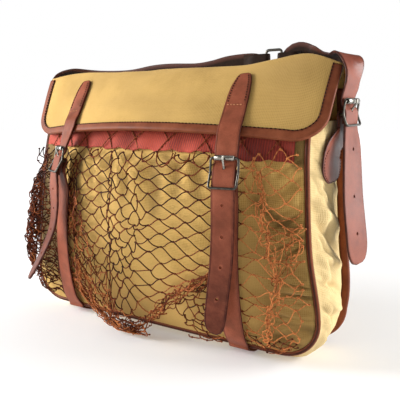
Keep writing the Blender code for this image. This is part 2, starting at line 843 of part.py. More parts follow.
def point_end(strip: Strip, length: float, at_end: bool = True, blunt: float = 0.35) -> Strip:
    """Return the strap with one end narrowed to a rounded tip."""
    halves = list(strip.halves)
    order = list(range(len(halves)))
    if at_end:
        order.reverse()
    travelled = 0.0
    previous = strip.centres[order[0]]
    for i in order:
        travelled += (strip.centres[i] - previous).length
        previous = strip.centres[i]
        if travelled >= length:
            break
        share = 1.0 - travelled / length
        halves[i] *= blunt + (1.0 - blunt) * math.sqrt(max(1.0 - share ** 2.2, 0.0))
    return Strip(strip.centres, strip.across, halves)


def strap(name: str, strip: Strip, thickness: float, finish: Finish = LEATHER_FINISH) -> bpy.types.Object:
    """Return a closed leather strap."""
    rows = []
    for centre, across, half in zip(strip.centres, strip.across, strip.halves):
        rows.append([centre - across * half, centre + across * half])
    return sheet(name, rows, thickness, finish)


def cutter(name: str, points: Sequence[Vector], faces: Sequence[Sequence[int]]) -> bpy.types.Object:
    """Return a hidden cutting body."""
    item = make_object(name, points, faces, METAL_FINISH)
    face_outward(item)
    item.hide_render = True
    item.display_type = "WIRE"
    return item


def cut(item: bpy.types.Object, tool: bpy.types.Object) -> None:
    """Take a cutting body out of an object."""
    step = item.modifiers.new("cut", "BOOLEAN")
    step.operation = "DIFFERENCE"
    step.solver = "EXACT"
    step.object = tool


def punch(item: bpy.types.Object, spots: Sequence[tuple[Vector, Vector]], radius: float) -> None:
    """Cut round holes through a strap, each at a spot and along a way."""
    points = []
    faces = []
    for spot, way in spots:
        side = way.orthogonal().normalized()
        other = way.cross(side).normalized()
        base = len(points)
        for end in (-PUNCH_REACH, PUNCH_REACH):
            for k in range(HOLE_SIDES):
                angle = 2.0 * math.pi * (k + 0.5) / HOLE_SIDES
                turn = side * math.cos(angle) + other * math.sin(angle)
                points.append(spot + way * end + turn * radius)
        for k in range(HOLE_SIDES):
            n = (k + 1) % HOLE_SIDES
            faces.append((base + k, base + n, base + HOLE_SIDES + n, base + HOLE_SIDES + k))
        faces.append(tuple(range(base, base + HOLE_SIDES)))
        faces.append(tuple(range(base + HOLE_SIDES, base + 2 * HOLE_SIDES)))
    cut(item, cutter(item.name + "_punch", points, faces))


class Place(NamedTuple):
    """Where a buckle sits: its centre bar, up along the strap, outward and across."""

    origin: Vector
    up: Vector
    out: Vector
    across: Vector

    def at(self, u: float, n: float, w: float = 0.0) -> Vector:
        """Return a point up, out and across from the centre bar."""
        return self.origin + self.up * u + self.out * n + self.across * w


class BuckleSize(NamedTuple):
    """Sizes of a roller buckle: its bars are above and below its centre bar."""

    half_width: float
    rise: float
    fall: float
    corner: float
    roller_radius: float


CLOSING_BUCKLE = BuckleSize(0.0142, 0.0140, 0.0150, 0.003, 0.0027)
SIDE_BUCKLE = BuckleSize(0.0215, 0.0130, 0.0105, 0.004, 0.0030)

TAB_MIDDLE = WIRE_RADIUS + GAP + TAB_LEATHER / 2.0
STRAP_OVER_TAB = TAB_MIDDLE + TAB_LEATHER / 2.0 + GAP + STRAP_LEATHER / 2.0
STRAP_AT_ROLLER = 0.0015
TAB_FOLD = 0.0175
TAB_SLOT_LOW = (-0.0085, -0.0065, -0.0019)
TAB_SLOT_HIGH = (0.0075, 0.0065, 0.0019)
LOWER_STRAP_STAND = 0.0052 + NET_THICKNESS / 2.0 + 0.0012 + TAB_LEATHER / 2.0
CLOSING_STAND = LOWER_STRAP_STAND + TAB_MIDDLE + 0.0050


def roller_out(size: BuckleSize) -> float:
    """Return how far out the roller's middle lies, just over the strap."""
    return STRAP_AT_ROLLER + STRAP_LEATHER / 2.0 + GAP + size.roller_radius


def lower_bar_out() -> float:
    """Return how far out the lower bar lies, just over the strap."""
    return STRAP_OVER_TAB + STRAP_LEATHER / 2.0 + GAP + WIRE_RADIUS


def cut_box(item: bpy.types.Object, place: Place, low: tuple, high: tuple) -> None:
    """Cut a box out of an object, given in a buckle's up, out and across."""
    points = []
    for u in (low[0], high[0]):
        for n in (low[1], high[1]):
            for w in (low[2], high[2]):
                points.append(place.at(u, n, w))
    faces = [(0, 1, 3, 2), (4, 6, 7, 5), (0, 4, 5, 1), (2, 3, 7, 6), (0, 2, 6, 4), (1, 5, 7, 3)]
    cut(item, cutter(item.name + "_slot", points, faces))


def build_buckle(name: str, place: Place, size: BuckleSize) -> None:
    """Make a bent wire frame with its centre bar, a roller and a prong."""
    top = roller_out(size)
    low = lower_bar_out()
    reach = size.half_width
    bend = size.corner
    frame = []
    for side in (1.0, -1.0):
        wing = [
            (size.rise, top, 0.0), (size.rise, top, reach - bend), (size.rise - bend, top * 0.9, reach),
            (size.rise * 0.45, top * 0.35, reach), (0.0, 0.0, reach), (-size.fall * 0.45, low * 0.35, reach),
            (bend - size.fall, low * 0.9, reach), (-size.fall, low, reach - bend), (-size.fall, low, 0.0),
        ]
        if side < 0.0:
            wing.reverse()
            wing = wing[1:-1]
        for u, n, w in wing:
            frame.append(place.at(u, n, w * side))
    ring = tube(name + "_frame", frame, WIRE_RADIUS, METAL_FINISH, closed=True, hint=place.out)
    bar_path = [place.at(0.0, 0.0, -reach), place.at(0.0, 0.0, reach)]
    bar = tube(name + "_bar", bar_path, WIRE_RADIUS, METAL_FINISH, hint=place.out)
    bar.hide_render = True
    bar.display_type = "WIRE"
    weld = ring.modifiers.new("bar", "BOOLEAN")
    weld.operation = "UNION"
    weld.solver = "EXACT"
    weld.object = bar
    build_roller(name, place, size)
    build_prong(name, place, size)


def build_roller(name: str, place: Place, size: BuckleSize) -> None:
    """Make the loose tube that turns on a buckle's upper bar."""
    half = size.half_width - size.corner - 0.0012
    centre = place.at(size.rise, roller_out(size))
    outer = size.roller_radius
    inner = WIRE_RADIUS + GAP
    profile = [(-half, inner), (-half, outer), (half, outer), (half, inner)]
    loops = []
    for k in range(ROLLER_SIDES):
        angle = 2.0 * math.pi * k / ROLLER_SIDES
        turn = place.up * math.cos(angle) + place.out * math.sin(angle)
        loops.append([centre + place.across * w + turn * r for w, r in profile])
    sweep(name + "_roller", loops, METAL_FINISH, closed=True)


def prong_path(size: BuckleSize) -> list[tuple[float, float]]:
    """Return the prong's line, up and out: round the bar, then over the roller."""
    radius = WIRE_RADIUS + GAP + PRONG_RADIUS + 0.0002
    path = []
    for k in range(7):
        angle = math.radians(335.0 - 245.0 * k / 6)
        path.append((radius * math.cos(angle), radius * math.sin(angle)))
    rest = roller_out(size) + size.roller_radius + GAP + PRONG_RADIUS
    path.append((size.rise * 0.45, radius + (rest - radius) * 0.50))
    path.append((size.rise * 0.85, rest))
    path.append((size.rise + size.roller_radius * 0.7, rest + 0.0002))
    return path


def build_prong(name: str, place: Place, size: BuckleSize) -> None:
    """Make the prong that hangs on the centre bar and rests on the roller."""
    path = [place.at(u, n) for u, n in prong_path(size)]
    tube(name + "_prong", path, PRONG_RADIUS, METAL_FINISH, hint=place.across)


def prong_hole(place: Place, size: BuckleSize) -> tuple[Vector, Vector]:
    """Return where and which way the prong goes through the strap."""
    path = prong_path(size)
    u0, n0 = path[6]
    u1, n1 = path[7]
    share = 0.62
    spot = place.at(u0 + (u1 - u0) * share, n0 + (n1 - n0) * share)
    way = (place.at(u1, n1) - place.at(u0, n0)).normalized()
    return spot, way


def tab_loop(place: Place) -> list[Vector]:
    """Return the fold of a tab round the centre bar, from its outer end to its inner side."""
    points = [place.at(-TAB_FOLD, TAB_MIDDLE), place.at(-TAB_FOLD / 2.0, TAB_MIDDLE)]
    for k in range(7):
        angle = math.radians(90.0 - 180.0 * k / 6)
        points.append(place.at(TAB_MIDDLE * math.cos(angle), TAB_MIDDLE * math.sin(angle)))
    return points


def front_place(x: float, z: float, offset: float) -> Vector:
    """Return a place off the front canvas along its outward direction."""
    return front_point(x, z) + front_normal(x, z) * offset


def front_across(x: float, z: float) -> Vector:
    """Return the way along the front canvas to the viewer's right."""
    return (front_point(x + SLOPE_STEP, z) - front_point(x - SLOPE_STEP, z)).normalized()


def closing_place(side: str) -> Place:
    """Return where a closing buckle sits in front of the net."""
    x = CLOSING_PLACES[side]
    out = front_normal(x, CLOSING_BUCKLE_HEIGHT)
    turn = Matrix.Rotation(-math.radians(CLOSING_TURN[side]), 3, "Z")
    origin = front_point(x, CLOSING_BUCKLE_HEIGHT) + out * CLOSING_STAND
    out = turn @ out
    across = turn @ front_across(x, CLOSING_BUCKLE_HEIGHT)
    across = (across - out * across.dot(out)).normalized()
    return Place(origin, across.cross(-out).normalized(), out, across)


def build_lower_strap(side: str) -> None:
    """Make the strap that runs under the bottom and holds a closing buckle."""
    place = closing_place(side)
    x_low = UNDER_PLACES[side]
    fold = tab_loop(place)
    run = [fold.pop(), place.at(-0.012, -TAB_MIDDLE)]
    across = [place.across, place.across]
    for height in LOWER_STRAP_HEIGHTS:
        x = lower_strap_x(side, height)
        run.append(front_place(x, height, LOWER_STRAP_STAND))
        across.append(front_across(x, height))
    seam = front_point(x_low, FRONT_LOW)
    level = TAB_LEATHER / 2.0
    reach = PIPING_RADIUS + GAP + level + WRAP_SLACK
    for angle in WRAP_ANGLES:
        turn = math.radians(angle)
        run.append(seam + Vector((0.0, -math.cos(turn), -math.sin(turn))) * reach)
    run[-1].z = min(run[-1].z, 0.0078)
    run.append(Vector((x_low, seam.y + 0.006, 0.0042)))
    run.append(Vector((x_low, seam.y + 0.016, level + 0.0003)))
    run.append(Vector((x_low, 0.0, level)))
    run.append(Vector((x_low, UNDER_END, level)))
    across.extend([Vector((1.0, 0.0, 0.0))] * 7)
    rest = spline(run, 2)
    for point in rest:
        point.z = max(point.z, level)
    centres = fold + rest
    ways = [place.across] * len(fold) + [way.normalized() for way in spline(across, 2)]
    item = strap("lower_strap_" + side, Strip(centres, ways, [CLOSING_HALF] * len(centres)), TAB_LEATHER)
    cut_box(item, place, TAB_SLOT_LOW, TAB_SLOT_HIGH)


class Tail(NamedTuple):
    """A closing strap's free part: height, place across and distance off the front."""

    height: float
    x: float
    stand: float


TAILS = {
    "right": (Tail(0.169, 0.1185, 0.0215), Tail(0.141, 0.1180, 0.0210), Tail(0.1115, 0.1150, 0.0205),
              Tail(0.078, 0.1080, 0.0200), Tail(0.041, 0.0995, 0.0240)),
    "left": (Tail(0.166, -0.1110, 0.0225), Tail(0.145, -0.1110, 0.0215), Tail(0.122, -0.1120, 0.0260),
             Tail(0.098, -0.1160, 0.0400), Tail(0.074, -0.1230, 0.0600)),
}
TAIL_TWIST = {"right": 0.0, "left": 0.22}
TWISTED_ACROSS = Vector((0.755, -0.656, 0.0))


def threaded_run(place: Place, size: BuckleSize) -> list[Vector]:
    """Return a strap's line through a buckle: under its roller, over its tab, under its lower bar."""
    return [place.at(size.rise + 0.004, STRAP_AT_ROLLER + GAP), place.at(size.rise - 0.003, STRAP_AT_ROLLER),
            place.at(0.003, STRAP_OVER_TAB - GAP), place.at(-0.004, STRAP_OVER_TAB),
            place.at(-size.fall - 0.003, STRAP_OVER_TAB)]


class OnFlap(NamedTuple):
    """A closing strap's stitched part: way down the flap and distance off it."""

    down: float
    share: float
    lift: float


FLAP_RUN = (
    OnFlap(0.018, 0.00, 0.0000),
    OnFlap(0.036, 0.25, 0.0002),
    OnFlap(0.054, 0.50, 0.0003),
    OnFlap(0.072, 0.75, 0.0006),
    OnFlap(0.083, 0.90, BINDING_LEATHER + GAP * 2.0),
    OnFlap(0.096, 1.00, BINDING_LEATHER + GAP * 2.0),
)


def flap_across(a: float, s: float) -> Vector:
    """Return the way along the flap to the viewer's right."""
    return (flap_point(a + SLOPE_STEP, s) - flap_point(a - SLOPE_STEP, s)).normalized()


def build_closing_strap(side: str) -> None:
    """Make the strap sewn to the flap, with its punched tail below the buckle."""
    place = closing_place(side)
    top, low = FLAP_PLACES[side]
    run = []
    across = []
    for row in FLAP_RUN:
        a = top + (low - top) * row.share
        lift = (CANVAS + STRAP_LEATHER) / 2.0 + GAP + row.lift
        run.append(flap_point(a, row.down) + flap_normal(a, row.down) * lift)
        across.append(flap_across(a, row.down))
    size = CLOSING_BUCKLE
    threaded = threaded_run(place, size)
    run.extend(threaded)
    across.extend([place.across] * len(threaded))
    for k, tail in enumerate(TAILS[side]):
        run.append(front_place(tail.x, tail.height, tail.stand))
        way = front_across(tail.x, tail.height).lerp(place.across, 0.5)
        across.append(way.lerp(TWISTED_ACROSS, min(TAIL_TWIST[side] * k, 1.0)))
    centres = spline(run, 2)
    ways = [way.normalized() for way in spline(across, 2)]
    strip = Strip(centres, ways, [CLOSING_HALF] * len(centres))
    strip = point_end(strip, CLOSING_TIP)
    strip = point_end(strip, TONGUE_LENGTH, at_end=False, blunt=TONGUE_BLUNT)
    item = strap("closing_strap_" + side, strip, STRAP_LEATHER)
    spots = [prong_hole(place, size)]
    for tail in TAILS[side][:4]:
        out = front_normal(tail.x, tail.height)
        spots.append((front_place(tail.x, tail.height, tail.stand), out))
    punch(item, spots, HOLE_RADIUS)


def build_closings() -> None:
    """Make both closing straps, their lower straps and their buckles."""
    for side in ("right", "left"):
        build_buckle("closing_buckle_" + side, closing_place(side), CLOSING_BUCKLE)
        build_lower_strap(side)
        build_closing_strap(side)


def side_place(side: str) -> Place:
    """Return where a side buckle sits."""
    sign = SIGNS[side]
    origin = Vector((SIDE_BUCKLE_X * sign, SIDE_BUCKLE_Y[side], SIDE_BUCKLE_HEIGHT))
    return Place(origin, Vector((0.0, 0.0, 1.0)), Vector((sign, 0.0, 0.0)), Vector((0.0, 1.0, 0.0)))


class Tab(NamedTuple):
    """A side tab at a height: half its width and its share of lying on the gusset."""

    height: float
    half: float
    resting: float


SIDE_TAB = (
    Tab(0.236, 0.0180, 0.0),
    Tab(0.226, 0.0190, 0.5),
    Tab(0.216, 0.0240, 0.9),
    Tab(0.207, 0.0255, 1.0),
    Tab(0.198, 0.0240, 1.0),
    Tab(0.191, 0.0180, 1.0),
    Tab(0.187, 0.0090, 1.0),
)


def build_side_tab(side: str) -> None:
    """Make the leather tab sewn on the gusset, folded round a side buckle's bar."""
    place = side_place(side)
    sign = SIGNS[side]
    rows = []
    for point in tab_loop(place)[1:]:
        rows.append([point + Vector((0.0, TAB_NECK_HALF * way, 0.0)) for way in (-1.0, 1.0)])
    inner = SIDE_BUCKLE_X - TAB_MIDDLE
    for tab in SIDE_TAB:
        middle = SIDE_BUCKLE_Y[side] + (SIDE_TAB_Y[side] - SIDE_BUCKLE_Y[side]) * tab.resting
        half = tab.half * (1.0 + (SIDE_TAB_SHARE[side] - 1.0) * tab.resting)
        crown = max(gusset_side(side, middle + half * k / 2.0, tab.height) for k in range(-2, 3))
        lying = crown + (CANVAS + TAB_LEATHER) / 2.0 + GAP * 2.0
        x = (inner + (lying - inner) * tab.resting) * sign
        rows.append([Vector((x, middle + half * way, tab.height)) for way in (-1.0, 1.0)])
    item = sheet("side_tab_" + side, rows, TAB_LEATHER, LEATHER_FINISH)
    cut_box(item, place, TAB_SLOT_LOW, TAB_SLOT_HIGH)


def shoulder_strip(side: str) -> Strip:
    """Return one shoulder strap section, from its ring to its tail's tip."""
    sign = SIGNS[side]
    place = side_place(side)
    size = SIDE_BUCKLE
    bar_x = RING_X + RING_HALF_LENGTH * sign
    reach = WIRE_RADIUS + GAP + STRAP_LEATHER / 2.0
    loop = []
    looks = []
    for away in LOOP_OVERLAPS:
        loop.append(Vector((bar_x + away * sign, RING_Y - reach, RING_Z)))
        looks.append(Vector((0.0, -1.0, 0.0)))
    for k in range(6):
        angle = math.radians(90.0 + 180.0 * k / 5)
        turn = Vector((math.cos(angle) * sign, -math.sin(angle), 0.0))
        loop.append(Vector((bar_x, RING_Y, RING_Z)) + turn * reach)
        looks.append(turn)
    run = [Vector((bar_x + LOOP_OVERLAPS[1] * sign, RING_Y + reach, RING_Z))]
    faces = [Vector((0.0, 1.0, 0.0))]
    for row in SHOULDER_STATIONS[side]:
        run.append(Vector((row.x, row.y, row.z)))
        faces.append(Vector((row.face_x, row.face_y, row.face_z)))
    threaded = threaded_run(place, size)
    run.extend(threaded)
    faces.extend([place.out] * len(threaded))
    for row in TAIL_STATIONS[side]:
        run.append(Vector((row.x, row.y, row.z)))
        faces.append(Vector((row.face_x, row.face_y, row.face_z)))
    whole = strip_from_faces(loop + spline(run, 2), looks + spline(faces, 2), SHOULDER_HALF)
    return point_end(whole, SHOULDER_TIP)


def build_shoulder_strap(side: str) -> None:
    """Make one section of the shoulder strap with its punched tail."""
    item = strap("shoulder_strap_" + side, shoulder_strip(side), STRAP_LEATHER)
    spots = [prong_hole(side_place(side), SIDE_BUCKLE)]
    for row in TAIL_STATIONS[side][:3]:
        spots.append((Vector((row.x, row.y, row.z)), Vector((row.face_x, row.face_y, 0.0)).normalized()))
    punch(item, spots, HOLE_RADIUS)


def build_ring() -> None:
    """Make the oblong wire ring that joins the shoulder strap's two sections."""
    reach = SHOULDER_HALF + RING_PLAY
    quarter = [(reach, 0.0), (reach, RING_HALF_LENGTH - RING_CORNER),
               (reach - RING_CORNER, RING_HALF_LENGTH)]
    path = []
    for z_sign, x_sign in ((1.0, 1.0), (-1.0, 1.0), (-1.0, -1.0), (1.0, -1.0)):
        places = quarter if z_sign * x_sign > 0.0 else list(reversed(quarter))
        for z, x in places:
            spot = Vector((RING_X + x * x_sign, RING_Y, RING_Z + z * z_sign))
            if not path or (spot - path[-1]).length > GAP:
                path.append(spot)
    if (path[0] - path[-1]).length < GAP:
        path.pop()
    tube("strap_ring", path, WIRE_RADIUS, METAL_FINISH, closed=True, hint=Vector((0.0, 1.0, 0.0)))


def build_shoulder() -> None:
    """Make the shoulder strap, its ring, its side buckles and their tabs."""
    build_ring()
    for side in SIGNS:
        build_buckle("side_buckle_" + side, side_place(side), SIDE_BUCKLE)
        build_side_tab(side)
        build_shoulder_strap(side)


def main() -> None:
    """Build the whole bag."""
    clear_scene()
    build_front()
    build_back()
    build_piping()
    build_gusset()
    build_flap()
    build_flap_binding()
    build_back_binding()
    build_ribbon()
    build_net()
    build_closings()
    build_shoulder()


main()
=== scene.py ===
import logging
import math
import random
from dataclasses import dataclass, field
from enum import Enum
from functools import lru_cache
from typing import Callable, NamedTuple, Protocol, Sequence

import bmesh
import bpy
import numpy as np
from mathutils import Matrix, Vector, noise


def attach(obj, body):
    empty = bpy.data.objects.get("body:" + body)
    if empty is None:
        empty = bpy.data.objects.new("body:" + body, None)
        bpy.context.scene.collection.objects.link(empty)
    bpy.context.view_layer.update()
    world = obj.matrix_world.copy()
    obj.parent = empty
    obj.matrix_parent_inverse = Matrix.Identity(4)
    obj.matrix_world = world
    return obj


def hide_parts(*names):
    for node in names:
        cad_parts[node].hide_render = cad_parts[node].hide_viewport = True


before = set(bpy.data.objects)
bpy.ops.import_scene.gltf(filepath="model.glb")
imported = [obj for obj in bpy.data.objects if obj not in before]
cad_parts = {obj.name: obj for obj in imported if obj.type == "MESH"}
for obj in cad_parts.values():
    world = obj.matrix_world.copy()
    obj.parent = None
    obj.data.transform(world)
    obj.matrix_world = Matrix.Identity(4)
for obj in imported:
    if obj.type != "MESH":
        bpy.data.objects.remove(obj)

LOG = logging.getLogger("bag")
RIDER = "root"
UV_NAME = "laid"

# Cloth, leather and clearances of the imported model, in metres
CANVAS = 0.0020
STRAP_LEATHER = 0.0026
TAB_LEATHER = 0.0020
BINDING_LEATHER = 0.0012
GAP = 0.0003
WIRE_RADIUS = 0.0015
PRONG_RADIUS = 0.0011
TAB_MIDDLE = WIRE_RADIUS + GAP + TAB_LEATHER / 2.0
STRAP_OVER_TAB = TAB_MIDDLE + TAB_LEATHER / 2.0 + GAP + STRAP_LEATHER / 2.0
STRAP_AT_ROLLER = 0.0015
SLOPE_STEP = 0.002

UP = Vector((0.0, 0.0, 1.0))
RIGHTWARD = Vector((1.0, 0.0, 0.0))
BACKWARD = Vector((0.0, 1.0, 0.0))

# Settings that several nodes share. A wave texture of scale 1 has a band every 0.314 units.
WAVE_BAND = 0.314159
MULTIPLY_ADD = {"operation": "MULTIPLY_ADD"}
COLOURS = {"data_type": "RGBA"}
TINT = {"data_type": "RGBA", "blend_type": "MULTIPLY"}

Line = Sequence[Vector]
Knot = tuple[float, float, float]


class Slot(Enum):
    """Material slots."""

    CANVAS = "canvas"
    LEATHER = "leather"
    RIBBON = "ribbon"
    CORD = "cord"
    METAL = "metal"


class Side(Enum):
    """The bag's sides as the viewer sees them from the front."""

    RIGHT = "right"
    LEFT = "left"

    @property
    def sign(self) -> float:
        """Return which way the side lies along x."""
        return 1.0 if self is Side.RIGHT else -1.0


class Finish(Protocol):
    """A finish that can make its own material."""

    def build(self) -> bpy.types.Material:
        """Return the material."""


def linear(colour: str) -> tuple[float, float, float, float]:
    """Turn an sRGB hex colour into linear RGBA.

    Args:
        colour: six hex digits after a hash sign.

    Returns:
        Red, green, blue and alpha as Blender's sockets take them.
    """
    parts = [int(colour[i:i + 2], 16) / 255.0 for i in (1, 3, 5)]
    turned = [c / 12.92 if c <= 0.04045 else ((c + 0.055) / 1.055) ** 2.4 for c in parts]
    return (turned[0], turned[1], turned[2], 1.0)


def feed(tree: bpy.types.NodeTree, node: bpy.types.Node, **links: object) -> None:
    """Set a node's sockets, or link what feeds them.

    Args:
        tree: node tree of the node.
        node: node whose sockets are meant.
        **links: sockets by name (spaces as underscores, or in_0, in_1 by place), each with a
            value or with the output socket that feeds it.
    """
    for name, value in links.items():
        socket = node.inputs[int(name[3:]) if name.startswith("in_") else name.replace("_", " ")]
        if isinstance(value, bpy.types.NodeSocket):
            tree.links.new(value, socket)
        else:
            socket.default_value = value


def add_node(tree: bpy.types.NodeTree, kind: str, output: str | int, settings: dict | None = None,
             stops: Sequence[tuple[float, str]] = (), **links: object) -> bpy.types.NodeSocket:
    """Add a node with its settings and links.

    Args:
        tree: node tree that the node joins.
        kind: Blender's name of the node type, without "ShaderNode".
        output: the output socket that is wanted, by name or place.
        settings: properties of the node by name.
        stops: places and sRGB colours of a colour ramp.
        **links: sockets as feed takes them.

    Returns:
        The wanted output socket.
    """
    node = tree.nodes.new("ShaderNode" + kind)
    for name, value in (settings or {}).items():
        setattr(node, name, value)
    if stops:
        elements = node.color_ramp.elements
        while len(elements) < len(stops):
            elements.new(0.5)
        for element, (place, colour) in zip(elements, stops):
            element.position = place
            element.color = linear(colour)
    feed(tree, node, **links)
    return node.outputs[output]


def new_material(name: str) -> tuple[bpy.types.Material, bpy.types.NodeTree, bpy.types.Node]:
    """Start a material.

    Args:
        name: its name.

    Returns:
        The material, its node tree and the Principled shader on its output.
    """
    material = bpy.data.materials.new(name)
    material.use_nodes = True
    return material, material.node_tree, material.node_tree.nodes["Principled BSDF"]


@dataclass(frozen=True)
class WovenCanvas:
    """Cotton duck, woven and proofed: a dry matt face with a visible grid of threads.

    The edge attribute mixes in the dark colour: painted shade in hollows and creases, under the
    net and ribbon and on parts turned from the key light, a darkening towards the bottom of the
    front, and stains in soft patches on the flap.
    Real duck has about 16 threads a centimetre, which a 400 pixel view can't show, so its grid is
    drawn at thread_pitch, just coarse enough to be seen.
    """

    name: str
    lit: str
    middle: str
    deep: str
    shade_and_stain: str
    thread_pitch: float = 0.0017
    thread_height: float = 0.00022

    def build(self) -> bpy.types.Material:
        """Make the material: crossed threads with slubs, over soft patches of tone.

        Returns:
            The material.
        """
        material, tree, shader = new_material(self.name)
        laid = add_node(tree, "UVMap", "UV", {"uv_map": UV_NAME})
        warp, weft = [add_node(tree, "TexWave", "Fac", {"bands_direction": way}, Vector=laid, Detail=1.0,
                               Scale=WAVE_BAND / self.thread_pitch, Distortion=0.35, Detail_Scale=0.6)
                      for way in ("X", "Y")]
        over = add_node(tree, "Math", 0, {"operation": "MULTIPLY"}, in_0=warp, in_1=weft)
        either = add_node(tree, "Math", 0, {"operation": "MAXIMUM"}, in_0=warp, in_1=weft)
        grid = add_node(tree, "Math", 0, MULTIPLY_ADD, in_0=over, in_1=0.6, in_2=either)
        slubs = []
        for stretch in ((900.0, 90.0, 1.0), (90.0, 900.0, 1.0)):
            drawn = add_node(tree, "Mapping", "Vector", Vector=laid, Scale=stretch)
            slubs.append(add_node(tree, "TexNoise", "Fac", Vector=drawn, Scale=1.0, Detail=2.0))
        threads = add_node(tree, "Math", 0, {"operation": "ADD"}, in_0=slubs[0], in_1=slubs[1])
        place = add_node(tree, "TexCoord", "Object")
        patches = add_node(tree, "TexNoise", "Fac", Vector=place, Scale=14.0, Detail=5.0, Roughness=0.6)
        faint = add_node(tree, "Math", 0, MULTIPLY_ADD, in_0=threads, in_1=0.22, in_2=-0.10)
        tone = add_node(tree, "Math", 0, MULTIPLY_ADD, in_0=patches, in_1=0.75, in_2=faint)
        woven = add_node(tree, "Math", 0, MULTIPLY_ADD, in_0=grid, in_1=0.28, in_2=tone)
        clean = add_node(tree, "ValToRGB", "Color", Fac=woven,
                         stops=((0.30, self.deep), (0.52, self.middle), (0.74, self.lit)))
        # Painted shade and stains: the edge attribute draws the cloth towards its dark colour.
        hollow = add_node(tree, "Attribute", "Fac", {"attribute_name": "edge"})
        colour = add_node(tree, "Mix", 2, COLOURS, in_0=hollow, in_6=clean, in_7=linear(self.shade_and_stain))
        height = add_node(tree, "Math", 0, MULTIPLY_ADD, in_0=threads, in_1=0.5, in_2=grid)
        bump = add_node(tree, "Bump", "Normal", Height=height, Distance=self.thread_height, Strength=0.75)
        feed(tree, shader, Base_Color=colour, Normal=bump, Roughness=0.88, Sheen_Weight=0.08,
             Sheen_Roughness=0.5, Specular_IOR_Level=0.2)
        return material


@dataclass(frozen=True)
class BridleLeather:
    """Vegetable tanned cowhide, dyed and waxed: a smooth grain with a soft shine and dark edges.

    The edge attribute is 1 on a cut or burnished edge and in a crease line, and rises towards a
    closing strap's lower end, which is drawn darker. The flesh attribute is 1 on the suede-like
    inner side, and as painted shade on both sides of a shoulder strap's loop round the ring. Real
    pores are about 0.2 mm apart, too fine for the view, so they are drawn at pore.
    """

    name: str
    lit: str
    middle: str
    deep: str
    edge: str
    flesh: str
    roughness: tuple[float, float] = (0.34, 0.52)
    pore: float = 0.0009
    coat: float = 0.02
    shine: float = 0.12

    def build(self) -> bpy.types.Material:
        """Make the material: cloudy dye with pores, worn edges and a rough flesh side.

        Returns:
            The material.
        """
        material, tree, shader = new_material(self.name)
        place = add_node(tree, "TexCoord", "Object")
        clouds = add_node(tree, "TexNoise", "Fac", Vector=place, Scale=38.0, Detail=6.0, Roughness=0.62)
        hide = add_node(tree, "ValToRGB", "Color", Fac=clouds,
                        stops=((0.32, self.deep), (0.50, self.middle), (0.70, self.lit)))
        pores = add_node(tree, "TexVoronoi", "Distance", Vector=place, Scale=1.0 / self.pore)
        grain = add_node(tree, "TexNoise", "Fac", Vector=place, Scale=0.9 / self.pore, Detail=3.0,
                         Roughness=0.7)
        speck = add_node(tree, "MapRange", "Result", Value=grain, From_Min=0.40, From_Max=0.64,
                         To_Min=0.90, To_Max=1.06)
        toned = add_node(tree, "Mix", 2, TINT, in_0=1.0, in_6=hide, in_7=speck)
        edge = add_node(tree, "Attribute", "Fac", {"attribute_name": "edge"})
        worn = add_node(tree, "TexNoise", "Fac", Vector=place, Scale=150.0, Detail=4.0)
        uneven = add_node(tree, "MapRange", "Result", Value=worn, From_Min=0.30, From_Max=0.62,
                          To_Min=0.72, To_Max=1.05)
        rim = add_node(tree, "Math", 0, {"operation": "MULTIPLY", "use_clamp": True}, in_0=edge,
                       in_1=uneven)
        edged = add_node(tree, "Mix", 2, COLOURS, in_0=rim, in_6=toned, in_7=linear(self.edge))
        flesh = add_node(tree, "Attribute", "Fac", {"attribute_name": "flesh"})
        fibre = add_node(tree, "TexNoise", "Fac", Vector=place, Scale=420.0, Detail=4.0)
        nap = add_node(tree, "MapRange", "Result", Value=fibre, From_Min=0.35, From_Max=0.65,
                       To_Min=0.75, To_Max=1.15)
        suede = add_node(tree, "Mix", 2, TINT, in_0=1.0, in_6=linear(self.flesh), in_7=nap)
        colour = add_node(tree, "Mix", 2, COLOURS, in_0=flesh, in_6=edged, in_7=suede)
        gloss = add_node(tree, "MapRange", "Result", Value=clouds, From_Min=0.35, From_Max=0.68,
                         To_Min=self.roughness[0], To_Max=self.roughness[1])
        dull = add_node(tree, "Mix", 0, {"data_type": "FLOAT"}, in_0=flesh, in_2=gloss, in_3=0.92)
        fine = add_node(tree, "Bump", "Normal", Height=pores, Distance=0.00007, Strength=0.45)
        soft = add_node(tree, "Bump", "Normal", Height=worn, Distance=0.00045, Strength=0.14, Normal=fine)
        feed(tree, shader, Base_Color=colour, Roughness=dull, Normal=soft, Coat_Weight=self.coat,
             Coat_Roughness=0.35, Specular_IOR_Level=self.shine)
        return material


